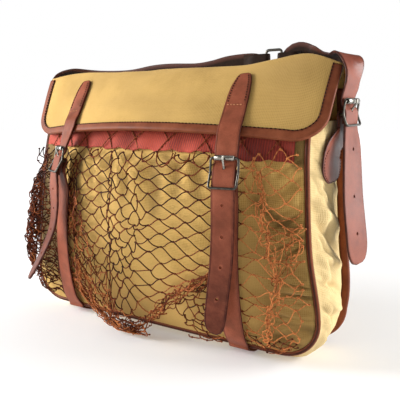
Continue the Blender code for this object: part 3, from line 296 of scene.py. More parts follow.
@dataclass(frozen=True)
class GrosgrainRibbon:
    """Ribbed rayon ribbon, woven with thick weft: its ribs are painted as dark and bright lines
    across, shade in each groove and highlight on each crest.

    The edge attribute is 1 in full shade. Real ribs are about 1 mm apart, too fine for the view,
    so they are drawn at rib_pitch.
    """

    name: str
    lit: str
    deep: str
    rib_pitch: float = 0.0027

    def build(self) -> bpy.types.Material:
        """Make the material: ribs painted with shade and highlight, faded in patches, with a fine weave
        across them.

        Returns:
            The material.
        """
        material, tree, shader = new_material(self.name)
        laid = add_node(tree, "UVMap", "UV", {"uv_map": UV_NAME})
        # Painted shade and highlight of the ribs: dark in each groove, bright on each crest.
        ribs = add_node(tree, "TexWave", "Fac", {"bands_direction": "X"}, Vector=laid,
                        Scale=WAVE_BAND / self.rib_pitch, Distortion=0.3)
        place = add_node(tree, "TexCoord", "Object")
        faded = add_node(tree, "TexNoise", "Fac", Vector=place, Scale=30.0, Detail=3.0)
        tone = add_node(tree, "Math", 0, MULTIPLY_ADD, in_0=ribs, in_1=0.50, in_2=faded)
        ribbed = add_node(tree, "ValToRGB", "Color", Fac=tone, stops=((0.45, self.deep), (0.95, self.lit)))
        shade = add_node(tree, "Attribute", "Fac", {"attribute_name": "edge"})
        colour = add_node(tree, "Mix", 2, COLOURS, in_0=shade, in_6=ribbed, in_7=linear(self.deep))
        weave = add_node(tree, "TexWave", "Fac", {"bands_direction": "Y"}, Vector=laid, Scale=420.0)
        bump = add_node(tree, "Bump", "Normal", Height=weave, Distance=0.0001, Strength=0.5)
        feed(tree, shader, Base_Color=colour, Normal=bump, Roughness=0.72, Sheen_Weight=0.08,
             Specular_IOR_Level=0.2)
        return material


@dataclass(frozen=True)
class TwistedCord:
    """Laid cotton twine: plies that wind round each other, dark between them and rusty on top.

    The edge attribute carries the tone of each strand, from dark brown at 0 to copper orange at 1.
    Real plies repeat every 1.5 mm, and are drawn at ply_pitch to show at all.
    """

    name: str
    lit: str
    middle: str
    deep: str
    ply_pitch: float = 0.0024
    patch: float = 26.0

    def build(self) -> bpy.types.Material:
        """Make the material: slanting plies in dye that wears off in patches.

        Returns:
            The material.
        """
        material, tree, shader = new_material(self.name)
        laid = add_node(tree, "UVMap", "UV", {"uv_map": UV_NAME})
        plies = add_node(tree, "TexWave", "Fac", {"bands_direction": "DIAGONAL"}, Vector=laid,
                         Scale=WAVE_BAND / self.ply_pitch)
        place = add_node(tree, "TexCoord", "Object")
        dyed = add_node(tree, "TexNoise", "Fac", Vector=place, Scale=self.patch, Detail=4.0)
        strand_tone = add_node(tree, "Attribute", "Fac", {"attribute_name": "edge"})
        patchy = add_node(tree, "Math", 0, MULTIPLY_ADD, in_0=dyed, in_1=0.45, in_2=-0.20)
        mixed = add_node(tree, "Math", 0, MULTIPLY_ADD, in_0=plies, in_1=0.25, in_2=patchy)
        tone = add_node(tree, "Math", 0, MULTIPLY_ADD, in_0=strand_tone, in_1=0.75, in_2=mixed)
        colour = add_node(tree, "ValToRGB", "Color", Fac=tone,
                          stops=((0.05, self.deep), (0.42, self.middle), (0.90, self.lit)))
        bump = add_node(tree, "Bump", "Normal", Height=plies, Distance=0.00015, Strength=0.6)
        feed(tree, shader, Base_Color=colour, Normal=bump, Roughness=0.62, Specular_IOR_Level=0.12)
        return material


@dataclass(frozen=True)
class NickelPlate:
    """Nickel plated steel, bent and tumbled: bright where it rubs, grey tarnish elsewhere."""

    name: str
    bright: str
    tarnish: str
    roughness: tuple[float, float]

    def build(self) -> bpy.types.Material:
        """Make the material: spots of tarnish under fine scratches.

        Returns:
            The material.
        """
        material, tree, shader = new_material(self.name)
        place = add_node(tree, "TexCoord", "Object")
        spots = add_node(tree, "TexNoise", "Fac", Vector=place, Scale=210.0, Detail=5.0, Roughness=0.65)
        colour = add_node(tree, "ValToRGB", "Color", Fac=spots,
                          stops=((0.36, self.tarnish), (0.60, self.bright)))
        gloss = add_node(tree, "MapRange", "Result", Value=spots, From_Min=0.36, From_Max=0.62,
                         To_Min=self.roughness[1], To_Max=self.roughness[0])
        scratches = add_node(tree, "TexNoise", "Fac", Vector=place, Scale=900.0, Detail=2.0)
        bump = add_node(tree, "Bump", "Normal", Height=scratches, Distance=0.00004, Strength=0.4)
        feed(tree, shader, Base_Color=colour, Roughness=gloss, Normal=bump, Metallic=1.0)
        return material


@dataclass(frozen=True)
class StudioPaper:
    """Pale translucent paper over a light table, lit from below a little more towards its rim."""

    name: str
    colour: str
    glow: tuple[float, float] = (0.20, 0.93)
    glow_reach: tuple[float, float] = (0.5, 2.5)

    def build(self) -> bpy.types.Material:
        """Make the material, whose glow grows with the distance from the bag.

        Returns:
            The material.
        """
        material, tree, shader = new_material(self.name)
        place = add_node(tree, "TexCoord", "Object")
        away = add_node(tree, "VectorMath", "Value", {"operation": "LENGTH"}, in_0=place)
        glow = add_node(tree, "MapRange", "Result", Value=away, From_Min=self.glow_reach[0],
                        From_Max=self.glow_reach[1], To_Min=self.glow[0], To_Max=self.glow[1])
        feed(tree, shader, Emission_Strength=glow, Emission_Color=linear("#FFFFFF"),
             Base_Color=linear(self.colour), Roughness=0.9, Specular_IOR_Level=0.1)
        return material


CANVAS_FINISH = WovenCanvas("mustard_woven_canvas", "#D0A860", "#BC964C", "#8E672B", "#48341A")
# The gusset's paler canvas is partly the cloth's own paler colour and partly painted light, for the side
# turned to the side lamp.
GUSSET_FINISH = WovenCanvas("pale_woven_canvas", "#DEC48E", "#D2B47A", "#B69258", "#6C5226")
STRAP_FINISH = BridleLeather("chestnut_bridle_leather", "#A35C43", "#8F4D37", "#76402C", "#3C140A",
                             "#55291B")
BINDING_FINISH = BridleLeather("chestnut_binding_leather", "#8E4F33", "#7D4229", "#69341F", "#3A1B11",
                               "#55291B", (0.45, 0.62), 0.0008, 0.01, 0.14)
# The shoulder leather's very dark flesh colour is the strap's inner side, and as painted shade it colours
# both sides of its loops round the ring.
SHOULDER_FINISH = BridleLeather("rubbed_shoulder_leather", "#8F4C38", "#81422F", "#703525", "#35160E",
                                "#26150A", (0.30, 0.45), 0.0009, 0.03, 0.24)
RIBBON_FINISH = GrosgrainRibbon("coral_grosgrain", "#BE4E3B", "#5E1812")
CORD_FINISH = TwistedCord("rust_laid_twine", "#D8884E", "#743419", "#2A110A")
THREAD_FINISH = TwistedCord("brown_waxed_thread", "#3E1C12", "#31150D", "#200C07", 0.0008, 60.0)
PALE_THREAD_FINISH = TwistedCord("tan_waxed_thread", "#E0B08C", "#D09A72", "#B87C54", 0.0008, 60.0)
# Both nickels are drawn dark: partly tarnish, and partly painted shade that dims the frames, the ring and the
# rollers and their reflections.
METAL_FINISH = NickelPlate("aged_nickel_plate", "#625E57", "#423F3A", (0.28, 0.42))
ROLLER_FINISH = NickelPlate("rubbed_nickel_plate", "#A8A49B", "#7C786E", (0.22, 0.34))
FLOOR_FINISH = StudioPaper("studio_paper", "#E8E8E8")


@lru_cache(maxsize=None)
def finish_material(finish: Finish) -> bpy.types.Material:
    """Return a finish's material, made once."""
    return finish.build()


def smooth_step(value: float) -> float:
    """Return 0 to 1 with level ends for a value from 0 to 1."""
    value = min(max(value, 0.0), 1.0)
    return value * value * (3.0 - 2.0 * value)


class Band(NamedTuple):
    """A stretch over which something sets in: where it starts and where it is full."""

    start: float
    full: float

    def share(self, value: float) -> float:
        """Return 0 before the start and 1 past the full end, smoothly in between."""
        return smooth_step((value - self.start) / (self.full - self.start))


class Bell(NamedTuple):
    """A soft hump: where it is highest and how wide it is."""

    centre: float
    width: float

    def share(self, value: float) -> float:
        """Return 1 at the centre and less to both sides of it."""
        return math.exp(-((value - self.centre) / self.width) ** 2)


def read_table(rows: Sequence[tuple], height: float) -> list[float]:
    """Read a table between its rows, with smooth slopes through them.

    Args:
        rows: table rows, the height first in each.
        height: place to read.

    Returns:
        One value for each column.
    """
    last = len(rows) - 1
    height = min(max(height, rows[0][0]), rows[last][0])
    i = 0
    while i < last - 1 and rows[i + 1][0] < height:
        i += 1
    span = rows[i + 1][0] - rows[i][0]
    t = (height - rows[i][0]) / span
    values = []
    for column in range(len(rows[0])):
        ends = []
        for j in (i, i + 1):
            low = rows[max(j - 1, 0)]
            high = rows[min(j + 1, last)]
            ends.append((high[column] - low[column]) / (high[0] - low[0]) * span)
        here = rows[i][column]
        there = rows[i + 1][column]
        values.append(here * (2 * t ** 3 - 3 * t ** 2 + 1) + ends[0] * (t ** 3 - 2 * t ** 2 + t)
                      + there * (3 * t ** 2 - 2 * t ** 3) + ends[1] * (t ** 3 - t ** 2))
    return values


def spline(points: Line, steps: int) -> list[Vector]:
    """Draw a smooth curve through points.

    Args:
        points: what it goes through.
        steps: pieces in each span.

    Returns:
        The curve's points.
    """
    result = []
    last = len(points) - 1
    for i in range(last):
        a = points[max(i - 1, 0)]
        b = points[i]
        c = points[i + 1]
        d = points[min(i + 2, last)]
        for k in range(steps):
            t = k / steps
            result.append(0.5 * ((2.0 * b) + (c - a) * t + (2.0 * a - 5.0 * b + 4.0 * c - d) * t ** 2
                                 + (3.0 * b - a - 3.0 * c + d) * t ** 3))
    result.append(points[last].copy())
    return result


def tangents(path: Line, closed: bool = False) -> list[Vector]:
    """Find the unit direction at each point of a path.

    Args:
        path: the path's points.
        closed: whether it closes on itself.

    Returns:
        One direction for each point.
    """
    result = []
    last = len(path) - 1
    for i in range(len(path)):
        before = path[i - 1] if (i > 0 or closed) else path[i]
        after = path[(i + 1) % len(path)] if (i < last or closed) else path[i]
        result.append((after - before).normalized())
    return result


def path_lengths(path: Line) -> list[float]:
    """Measure a path.

    Args:
        path: the path's points.

    Returns:
        How far along the path each point lies.
    """
    lengths = [0.0]
    for before, after in zip(path, path[1:]):
        lengths.append(lengths[-1] + (after - before).length)
    return lengths


class Mark(NamedTuple):
    """One point of a sheet: where it is, where the flat cloth has it, and its edge value."""

    point: Vector
    laid: tuple[float, float]
    edge: float = 0.0


@dataclass
class Draft:
    """A mesh in the making: points, faces, how the cloth or hide is laid, and its edge values."""

    points: list[Vector] = field(default_factory=list)
    faces: list[tuple[int, ...]] = field(default_factory=list)
    laid: list[tuple[float, float]] = field(default_factory=list)
    edge: list[float] = field(default_factory=list)
    flesh: list[float] = field(default_factory=list)

    def add(self, point: Vector, laid: tuple[float, float], edge: float = 0.0, flesh: float = 0.0) -> int:
        """Add one point.

        Args:
            point: where it is.
            laid: where the flat cloth or hide has it.
            edge: its edge value.
            flesh: its flesh value.

        Returns:
            Its number.
        """
        self.points.append(point)
        self.laid.append(laid)
        self.edge.append(edge)
        self.flesh.append(flesh)
        return len(self.points) - 1

    def grid(self, rows: Sequence[Sequence[Mark]]) -> None:
        """Add a sheet of quads.

        Args:
            rows: equal rows of marks.
        """
        start = len(self.points)
        columns = len(rows[0])
        for row in rows:
            for mark in row:
                self.add(mark.point, mark.laid, mark.edge)
        for i in range(len(rows) - 1):
            for j in range(columns - 1):
                corner = start + i * columns + j
                self.faces.append((corner, corner + 1, corner + columns + 1, corner + columns))

    def sweep(self, loops: Sequence[Line], along: Sequence[float], around: Sequence[float],
              edge: Sequence[float] | None = None, flesh: Sequence[float] | None = None,
              closed: bool = False) -> None:
        """Add a closed body through equal loops.

        Args:
            loops: cross-sections, each a ring of points.
            along: length of the path at each loop.
            around: length round the section at each of its points.
            edge: edge value of each point of a section.
            flesh: flesh value of each point of a section.
            closed: whether the last loop joins the first.
        """
        start = len(self.points)
        sides = len(loops[0])
        count = len(loops)
        for loop, length in zip(loops, along):
            for j, point in enumerate(loop):
                self.add(point, (around[j], length), edge[j] if edge else 0.0, flesh[j] if flesh else 0.0)
        for i in range(count if closed else count - 1):
            here = start + i * sides
            there = start + ((i + 1) % count) * sides
            for j in range(sides):
                k = (j + 1) % sides
                self.faces.append((here + j, here + k, there + k, there + j))
        if not closed:
            self.faces.append(tuple(range(start + sides - 1, start - 1, -1)))
            self.faces.append(tuple(range(start + (count - 1) * sides, start + count * sides)))

    def tube(self, path: Line, radius: float | Sequence[float], sides: int, closed: bool = False,
             hint: Vector = UP, tone: float = 0.0) -> None:
        """Add a round bar along a path.

        Args:
            path: middle line.
            radius: one radius, or one for each point.
            sides: points of a ring.
            closed: whether the path closes on itself.
            hint: direction that the first ring's side is square to.
            tone: edge value, such as a cord's tone.
        """
        size = radius if isinstance(radius, float) else max(radius)
        around = [2.0 * math.pi * size * k / sides for k in range(sides)]
        self.sweep(tube_loops(path, radius, sides, closed, hint), path_lengths(path), around,
                   [tone] * sides, closed=closed)

    def ball(self, centre: Vector, axis: Vector, long: float, wide: float, sides: int = 6,
             tone: float = 0.0) -> None:
        """Add a small spindle such as a knot or a stitch.

        Args:
            centre: its middle.
            axis: direction of its length.
            long: its length.
            wide: its width.
            sides: points of a ring.
            tone: its edge value.
        """
        side = axis.orthogonal().normalized()
        other = axis.cross(side).normalized()
        loops = []
        for share, size in ((-0.98, 0.25), (-0.6, 0.80), (0.0, 1.0), (0.6, 0.80), (0.98, 0.25)):
            loop = []
            for k in range(sides):
                angle = 2.0 * math.pi * k / sides
                turn = side * math.cos(angle) + other * math.sin(angle)
                loop.append(centre + axis * (share * long / 2.0) + turn * (size * wide / 2.0))
            loops.append(loop)
        self.sweep(loops, [long * k / 4.0 for k in range(5)], [wide * 3.0 * k / sides for k in range(sides)],
                   [tone] * sides)

    def build(self, name: str, finish: Finish, smooth: bool = True) -> bpy.types.Object:
        """Make the object with its material, its laid map and its edge values.

        Args:
            name: the object's name.
            finish: what it is made of.
            smooth: whether its faces shade smoothly.

        Returns:
            The object.
        """
        mesh = bpy.data.meshes.new(name)
        mesh.from_pydata([tuple(point) for point in self.points], [], self.faces)
        mesh.validate()
        layer = mesh.uv_layers.new(name=UV_NAME)
        corners = np.empty(len(mesh.loops), dtype=np.int32)
        mesh.loops.foreach_get("vertex_index", corners)
        layer.data.foreach_set("uv", np.array(self.laid, dtype=np.float32)[corners].ravel())
        for label, values in (("edge", self.edge), ("flesh", self.flesh)):
            if any(values):
                mesh.attributes.new(label, "FLOAT", "POINT").data.foreach_set(
                    "value", np.array(values, dtype=np.float32))
        mesh.polygons.foreach_set("use_smooth", [smooth] * len(mesh.polygons))
        mesh.materials.append(finish_material(finish))
        piece = bpy.data.objects.new(name, mesh)
        bpy.context.scene.collection.objects.link(piece)
        return piece

    def sheet(self, name: str, finish: Finish, slot: Slot, thickness: float, node: str) -> None:
        """Make and publish a sheet with its wall, half to each side.

        Args:
            name: the piece's name.
            finish: its cloth.
            slot: its slot.
            thickness: thickness of the wall.
            node: CAD node that it stands for.
        """
        piece = self.build(name, finish)
        wall = piece.modifiers.new("wall", "SOLIDIFY")
        wall.thickness = thickness
        wall.offset = 0.0
        wall.use_rim = True
        publish(piece, slot, node)

    def body(self, name: str, finish: Finish, slot: Slot, node: str) -> None:
        """Make and publish closed bodies, all their faces turned outward.

        Args:
            name: the piece's name.
            finish: what it is made of.
            slot: its slot.
            node: CAD node that it stands for.
        """
        piece = self.build(name, finish)
        face_outward(piece)
        publish(piece, slot, node)


def face_outward(piece: bpy.types.Object) -> None:
    """Turn all faces of closed bodies outward.

    Args:
        piece: object whose mesh is turned.
    """
    shape = bmesh.new()
    shape.from_mesh(piece.data)
    bmesh.ops.recalc_face_normals(shape, faces=shape.faces)
    shape.to_mesh(piece.data)
    shape.free()


def publish(piece: bpy.types.Object, slot: Slot, *nodes: str) -> None:
    """Let a piece ride on the bag and hide the CAD nodes that it stands for.

    Args:
        piece: the finished piece.
        slot: its slot; not used.
        *nodes: CAD nodes that it replaces.
    """
    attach(piece, RIDER)
    if nodes:
        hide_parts(*nodes)
    LOG.info("%s: %d faces", piece.name, len(piece.data.polygons))


def tube_loops(path: Line, radius: float | Sequence[float], sides: int, closed: bool = False,
               hint: Vector = UP) -> list[list[Vector]]:
    """Draw rings round a path, turned by parallel transport.

    Args:
        path: middle line.
        radius: one radius, or one for each point.
        sides: points of a ring.
        closed: whether the path closes on itself.
        hint: direction that the first ring's side is square to.

    Returns:
        One ring for each point of the path.
    """
    ways = tangents(path, closed)
    side = ways[0].cross(hint)
    if side.length < 1e-6:
        side = ways[0].orthogonal()
    side.normalize()
    loops = []
    for i, (point, way) in enumerate(zip(path, ways)):
        side = (side - way * side.dot(way)).normalized()
        other = way.cross(side)
        size = radius if isinstance(radius, float) else radius[i]
        loop = []
        for k in range(sides):
            angle = 2.0 * math.pi * k / sides
            loop.append(point + (side * math.cos(angle) + other * math.sin(angle)) * size)
        loops.append(loop)
    return loops


def rounded_loop(corners: Sequence[tuple[Vector, float]], steps: int) -> list[Vector]:
    """Draw a closed line whose corners are rounded off.

    Args:
        corners: each corner with its bend.
        steps: pieces of each bend.

    Returns:
        The line's points.
    """
    path = []
    for i, (corner, bend) in enumerate(corners):
        before = corners[i - 1][0]
        after = corners[(i + 1) % len(corners)][0]
        start = corner + (before - corner).normalized() * bend
        end = corner + (after - corner).normalized() * bend
        for k in range(steps + 1):
            t = k / steps
            path.append(start.lerp(corner, t).lerp(corner.lerp(end, t), t))
    return path


class Outline(NamedTuple):
    """A panel's outline with two round bottom corners, drawn in by an inset."""

    half: Callable[[float], float]
    low: float
    corner: float
    top: float
    inset: float = 0.0

    def half_at(self, height: float) -> float:
        """Find half the panel's width.

        Args:
            height: where it is taken.

        Returns:
            The half width.
        """
        bend = self.low + self.corner
        if height >= bend:
            return self.half(height) - self.inset
        reach = self.corner - self.inset
        drop = bend - height
        return self.half(bend) - self.corner + math.sqrt(max(reach * reach - drop * drop, 0.0))

    def heights(self, rows: int, arc: int) -> list[float]:
        """Share out row heights: close in the corners, even above them.

        Args:
            rows: pieces above the corners.
            arc: pieces in the corners.

        Returns:
            The heights from low to high.
        """
        bend = self.low + self.corner
        reach = self.corner - self.inset
        return ([bend - reach * math.cos(0.5 * math.pi * k / arc) for k in range(arc)]
                + [bend + (self.top - bend) * k / rows for k in range(rows + 1)])

    def edge(self, rows: int = 48, arc: int = 14, columns: int = 75) -> list[tuple[float, float]]:
        """Follow the panel's edge from its top right round to its top left.

        Args:
            rows: pieces of each side.
            arc: pieces of each corner.
            columns: pieces of the bottom.

        Returns:
            Place across and height of each point.
        """
        right = [(self.half_at(z), z) for z in reversed(self.heights(rows, arc))]
        reach = right[-1][0]
        bottom = [(reach * (1.0 - 2.0 * k / columns), self.low + self.inset) for k in range(1, columns)]
        return right + bottom + [(-x, z) for x, z in reversed(right)]


class Section(NamedTuple):
    """Seams and swell of the body at one height."""

    height: float
    front_half: float
    back_half: float
    front_y: float
    back_y: float
    front_swell: float
    back_swell: float
    skew: float


@dataclass(frozen=True, eq=False)
class Body:
    """Shape of the standing bag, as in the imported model: every piece sits on these surfaces.

    A place x, z is across to the viewer's right and up.
    """

    front_low: float = 0.012
    front_top: float = 0.248
    front_corner: float = 0.040
    back_low: float = 0.004
    back_top: float = 0.300
    back_corner: float = 0.038
    swell_power: float = 2.4
    piping_radius: float = 0.0025
    seam_margin: float = 0.010
    sections: tuple[Section, ...] = (
        Section(0.000, 0.1985, 0.194, -0.039, 0.033, 0.003, 0.001, 0.002),
        Section(0.012, 0.2000, 0.196, -0.040, 0.034, 0.005, 0.001, 0.002),
        Section(0.060, 0.2010, 0.203, -0.043, 0.038, 0.022, 0.003, 0.004),
        Section(0.120, 0.1935, 0.199, -0.045, 0.038, 0.034, 0.005, 0.007),
        Section(0.180, 0.1902, 0.196, -0.042, 0.034, 0.036, 0.006, 0.011),
        Section(0.234, 0.1886, 0.198, -0.036, 0.026, 0.020, 0.004, 0.014),
        Section(0.260, 0.1870, 0.199, -0.020, 0.019, 0.010, -0.004, 0.008),
        Section(0.280, 0.1875, 0.200, -0.018, 0.0125, 0.008, -0.014, 0.007),
        Section(0.300, 0.1870, 0.201, -0.016, 0.0070, 0.006, -0.014, 0.006),
    )

    @lru_cache(maxsize=None)
    def section(self, height: float) -> Section:
        """Return the body's section at a height."""
        return Section(*read_table(self.sections, height))

    def front(self, x: float, z: float) -> Vector:
        """Find a place on the middle of the front canvas.

        Args:
            x: place across.
            z: height.

        Returns:
            The place.
        """
        section = self.section(round(z, 5))
        across = min(max(x / section.front_half, -1.0), 1.0)
        swell = section.front_swell * (1.0 - abs(across) ** self.swell_power)
        return Vector((x, section.front_y - section.skew * across - swell, z))

    def back(self, x: float, z: float) -> Vector:
        """Find a place on the middle of the back canvas.

        Args:
            x: place across.
            z: height.

        Returns:
            The place.
        """
        section = self.section(round(z, 5))
        across = min(max(x / section.back_half, -1.0), 1.0)
        return Vector((x, section.back_y + section.back_swell * (1.0 - across * across), z))

    def front_across(self, x: float, z: float) -> Vector:
        """Return the way along the front canvas to the viewer's right."""
        return (self.front(x + SLOPE_STEP, z) - self.front(x - SLOPE_STEP, z)).normalized()

    def front_out(self, x: float, z: float) -> Vector:
        """Return the outward direction of the front canvas."""
        up = self.front(x, z + SLOPE_STEP) - self.front(x, z - SLOPE_STEP)
        return self.front_across(x, z).cross(up).normalized()

    def back_out(self, x: float, z: float) -> Vector:
        """Find the outward direction of the back canvas.

        Args:
            x: place across.
            z: height.

        Returns:
            The direction.
        """
        along = self.back(x - SLOPE_STEP, z) - self.back(x + SLOPE_STEP, z)
        up = self.back(x, z + SLOPE_STEP) - self.back(x, z - SLOPE_STEP)
        return along.cross(up).normalized()

    def on_front(self, x: float, z: float, offset: float) -> Vector:
        """Return a place off the front canvas along its outward direction."""
        return self.front(x, z) + self.front_out(x, z) * offset

    def front_half(self, height: float) -> float:
        """Return half the front's width."""
        return self.section(round(height, 5)).front_half

    def back_half(self, height: float) -> float:
        """Return half the back's width."""
        return self.section(round(height, 5)).back_half

    def front_outline(self, inset: float) -> Outline:
        """Return the front's outline, drawn in by an inset."""
        return Outline(self.front_half, self.front_low, self.front_corner, self.front_top, inset)

    def back_outline(self, below_top: float) -> Outline:
        """Return the back's outline up to a distance below its top."""
        return Outline(self.back_half, self.back_low, self.back_corner, self.back_top - below_top)


BAG = Body()


# Shares of a fold's length over which it rises, and over which it dies down
FOLD_RISES = Band(-0.25, 0.20)
FOLD_FADES = Band(1.25, 0.80)


class Fold(NamedTuple):
    """A crease in a panel: a soft ridge or hollow between two places.

    Places are x and z on the front and back, depth share and z on the sides.
    """

    start_across: float
    start_z: float
    end_across: float
    end_z: float
    width: float
    height: float

    def relief(self, across: float, z: float, scale: float) -> float:
        """Find how far the fold raises a panel.

        Args:
            across: place across the panel.
            z: height of the place.
            scale: metres for one unit across.

        Returns:
            The rise along the panel's outward direction.
        """
        dx = (self.end_across - self.start_across) * scale
        dz = self.end_z - self.start_z
        px = (across - self.start_across) * scale
        pz = z - self.start_z
        length = math.hypot(dx, dz)
        t = (px * dx + pz * dz) / (length * length)
        away = abs(px * dz - pz * dx) / length
        return (self.height * FOLD_RISES.share(t) * FOLD_FADES.share(t)
                * math.exp(-(away / self.width) ** 2))


def fold_relief(folds: Sequence[Fold], across: float, z: float, scale: float = 1.0) -> float:
    """Return how far all folds raise a panel at a place, with the metres for one unit across."""
    return sum(fold.relief(across, z, scale) for fold in folds)


def crumple(point: Vector, size: float, seed: float) -> float:
    """Return soft noise from -1 to 1 with lumps of a size."""
    return noise.noise(point / size + Vector((seed, seed * 1.7, -seed)))


@dataclass
class Panels:
    """Canvas body: the swelling front, the back, the strip round sides and bottom, and the piping.

    The puckers' turn is in radians for each metre, and lumps are the noise's lumps in a metre.
    """

    front_columns: int = 190
    front_rows: int = 124
    columns: int = 150
    rows: int = 96
    arc: int = 14
    piping_sides: int = 14
    lump: float = 0.0009
    lump_size: float = 0.020
    front_lump_size: float = 0.024
    seam_calm: float = 0.008
    front_limit: float = 0.0040
    crease_across: Band = Band(0.142, 0.178)
    crease_below: Band = Band(0.226, 0.196)
    crease_slope: float = math.radians(32.0)
    slope_height: Band = Band(0.060, 0.110)
    crease_length: float = 0.045
    crease_pitch: float = 0.0070
    crease_height: float = 0.0052
    pucker_above: Band = Band(0.150, 0.200)
    pucker_below: Band = Band(0.2125, 0.2045)
    pucker_turn: float = 210.0
    pucker_height: float = 0.0020
    pucker_shift: float = 2.2
    pucker_shift_lumps: tuple[float, float] = (30.0, 14.0)
    # Painted shade of the front: its right bay, turned from the key light, its hollows, and the cloth under
    # the net and by the ribbon's right end; and a darkening towards the bottom
    bay_across: Band = Band(0.110, 0.160)
    bay_below: Band = Band(0.235, 0.115)
    bay_dark: float = 0.46
    hollow_depth: float = 0.0026
    hollow_dark: float = 0.42
    floor_near: Band = Band(0.045, 0.005)
    floor_dark: float = 0.15
    covers: tuple[tuple[Band, Band], ...] = ((Band(-0.132, -0.146), Band(0.030, 0.070)),
                                             (Band(0.172, 0.180), Band(0.198, 0.210)))
    cover_dark: float = 0.75
    most_dark: float = 0.85
    back_lump_size: float = 0.05
    back_lump: float = 0.00198
    back_calm: float = 0.03
    back_margin: float = 0.014
    back_free_top: float = 0.25
    back_top_calm: float = 0.02
    gusset_depth: float = 0.08
    gusset_bulge: float = 0.007
    gusset_rounding: float = 0.26
    gusset_end_gap: float = 0.0018
    gusset_steps: int = 40
    under_margin: float = 0.008
    under_tab: Bell = Bell(0.215, 0.030)
    side_crease: float = 0.0060
    side_crease_length: float = 0.030
    side_crease_pitch: float = 0.0085
    side_crease_share: Bell = Bell(0.18, 0.24)
    side_free: Band = Band(0.94, 0.54)
    side_limit: float = 0.0060
    side_dark_from: float = 0.04
    side_most_dark: float = 0.35
    side_lump: float = 0.00117
    front_folds: tuple[Fold, ...] = (
        Fold(0.150, 0.205, 0.186, 0.165, 0.0055, 0.0030),
        Fold(0.140, 0.175, 0.184, 0.140, 0.0060, -0.0028),
        Fold(-0.090, 0.205, -0.040, 0.190, 0.0060, 0.0026),
        Fold(-0.030, 0.212, 0.020, 0.180, 0.0080, 0.0026),
        Fold(0.040, 0.210, 0.030, 0.150, 0.0090, -0.0022),
        Fold(-0.060, 0.210, -0.050, 0.160, 0.0060, -0.0022),
        Fold(-0.185, 0.060, -0.150, 0.036, 0.0050, 0.0025),
    )
    side_folds: tuple[Fold, ...] = (
        Fold(0.12, 0.205, 0.85, 0.172, 0.0050, 0.0050),
        Fold(0.10, 0.178, 0.62, 0.196, 0.0045, -0.0040),
        Fold(0.20, 0.163, 0.90, 0.128, 0.0055, 0.0056),
        Fold(0.10, 0.150, 0.70, 0.112, 0.0042, -0.0050),
        Fold(0.12, 0.118, 0.95, 0.092, 0.0050, 0.0050),
        Fold(0.15, 0.092, 0.90, 0.060, 0.0046, -0.0050),
        Fold(0.10, 0.070, 0.75, 0.048, 0.0045, 0.0046),
        Fold(0.20, 0.055, 0.80, 0.036, 0.0042, -0.0036),
        Fold(0.45, 0.240, 0.55, 0.120, 0.0060, 0.0026),
    )

    def build(self) -> None:
        """Make and dress every panel, and the round piping along the front seam."""
        self.front()
        self.back()
        self.gusset()
        line = BAG.front_outline(0.0).edge()
        path = [BAG.front(x, z) for x, z in line]
        turns = [2.0 * math.pi * k / self.piping_sides for k in range(self.piping_sides)]
        draft = Draft()
        # A dark stripe along one side of the piping: its dark seam edge, and painted shade of the crevice
        # beside it.
        draft.sweep(tube_loops(path, BAG.piping_radius, self.piping_sides), path_lengths(path),
                    [BAG.piping_radius * turn for turn in turns],
                    [1.0 if math.sin(turn) < -0.9 else 0.0 for turn in turns])
        draft.body("front_piping_leather", BINDING_FINISH, Slot.LEATHER, "front_piping")

    def front_relief(self, x: float, z: float) -> float:
        """Find how far folds, creases by the right seam and puckers under the ribbon raise the front.

        Args:
            x: place across.
            z: height.

        Returns:
            The rise.
        """
        seam = self.crease_across.share(x) * self.crease_below.share(z)
        slope = self.crease_slope * self.slope_height.share(z)
        along = x * math.cos(slope) + z * math.sin(slope)
        over = z * math.cos(slope) - x * math.sin(slope)
        creases = noise.noise(Vector((along / self.crease_length, over / self.crease_pitch, 2.0)))
        puckered = self.pucker_above.share(z) * self.pucker_below.share(z) * (1.0 - seam)
        lumps_x, lumps_z = self.pucker_shift_lumps
        shift = self.pucker_shift * noise.noise(Vector((x * lumps_x, z * lumps_z, 1.0)))
        puckers = math.sin(x * self.pucker_turn + shift)
        return (fold_relief(self.front_folds, x, z) + self.crease_height * seam * creases
                + self.pucker_height * puckered * puckers)

    def front_shade(self, x: float, z: float, relief: float) -> float:
        """Find the front's painted shade: its right bay turned from the key light, its hollows, the cloth
        under the net and by the ribbon's right end, and a darkening towards the bottom.

        Args:
            x: place across.
            z: height.
            relief: rise of the canvas there.

        Returns:
            The edge value.
        """
        dark = self.bay_dark * self.bay_across.share(x) * self.bay_below.share(z)
        dark += self.hollow_dark * min(max(-relief / self.hollow_depth, 0.0), 1.0)
        dark += self.floor_dark * self.floor_near.share(z)
        dark += self.cover_dark * sum(across.share(x) * up.share(z) for across, up in self.covers)
        return min(dark, self.most_dark)

    def front(self) -> None:
        """Make the front canvas, with shade painted into its hollows and its right side."""
        inset = BAG.piping_radius + GAP
        outline = BAG.front_outline(inset)
        rows = []
        for z in outline.heights(self.front_rows, self.arc):
            reach = outline.half_at(z)
            row = []
            for j in range(self.front_columns + 1):
                x = reach * (2.0 * j / self.front_columns - 1.0)
                point = BAG.front(x, z)
                edge = min(self.seam_calm, reach - abs(x), z - BAG.front_low - inset) / self.seam_calm
                relief = self.front_relief(x, z)
                rise = relief + self.lump * crumple(point, self.front_lump_size, 3.0)
                spot = point + BAG.front_out(x, z) * min(rise * max(edge, 0.0), self.front_limit)
                row.append(Mark(spot, (spot.x, z), self.front_shade(x, z, relief)))
            rows.append(row)
        draft = Draft()
        draft.grid(rows)
        draft.sheet("front_canvas", CANVAS_FINISH, Slot.CANVAS, CANVAS, "front_panel")

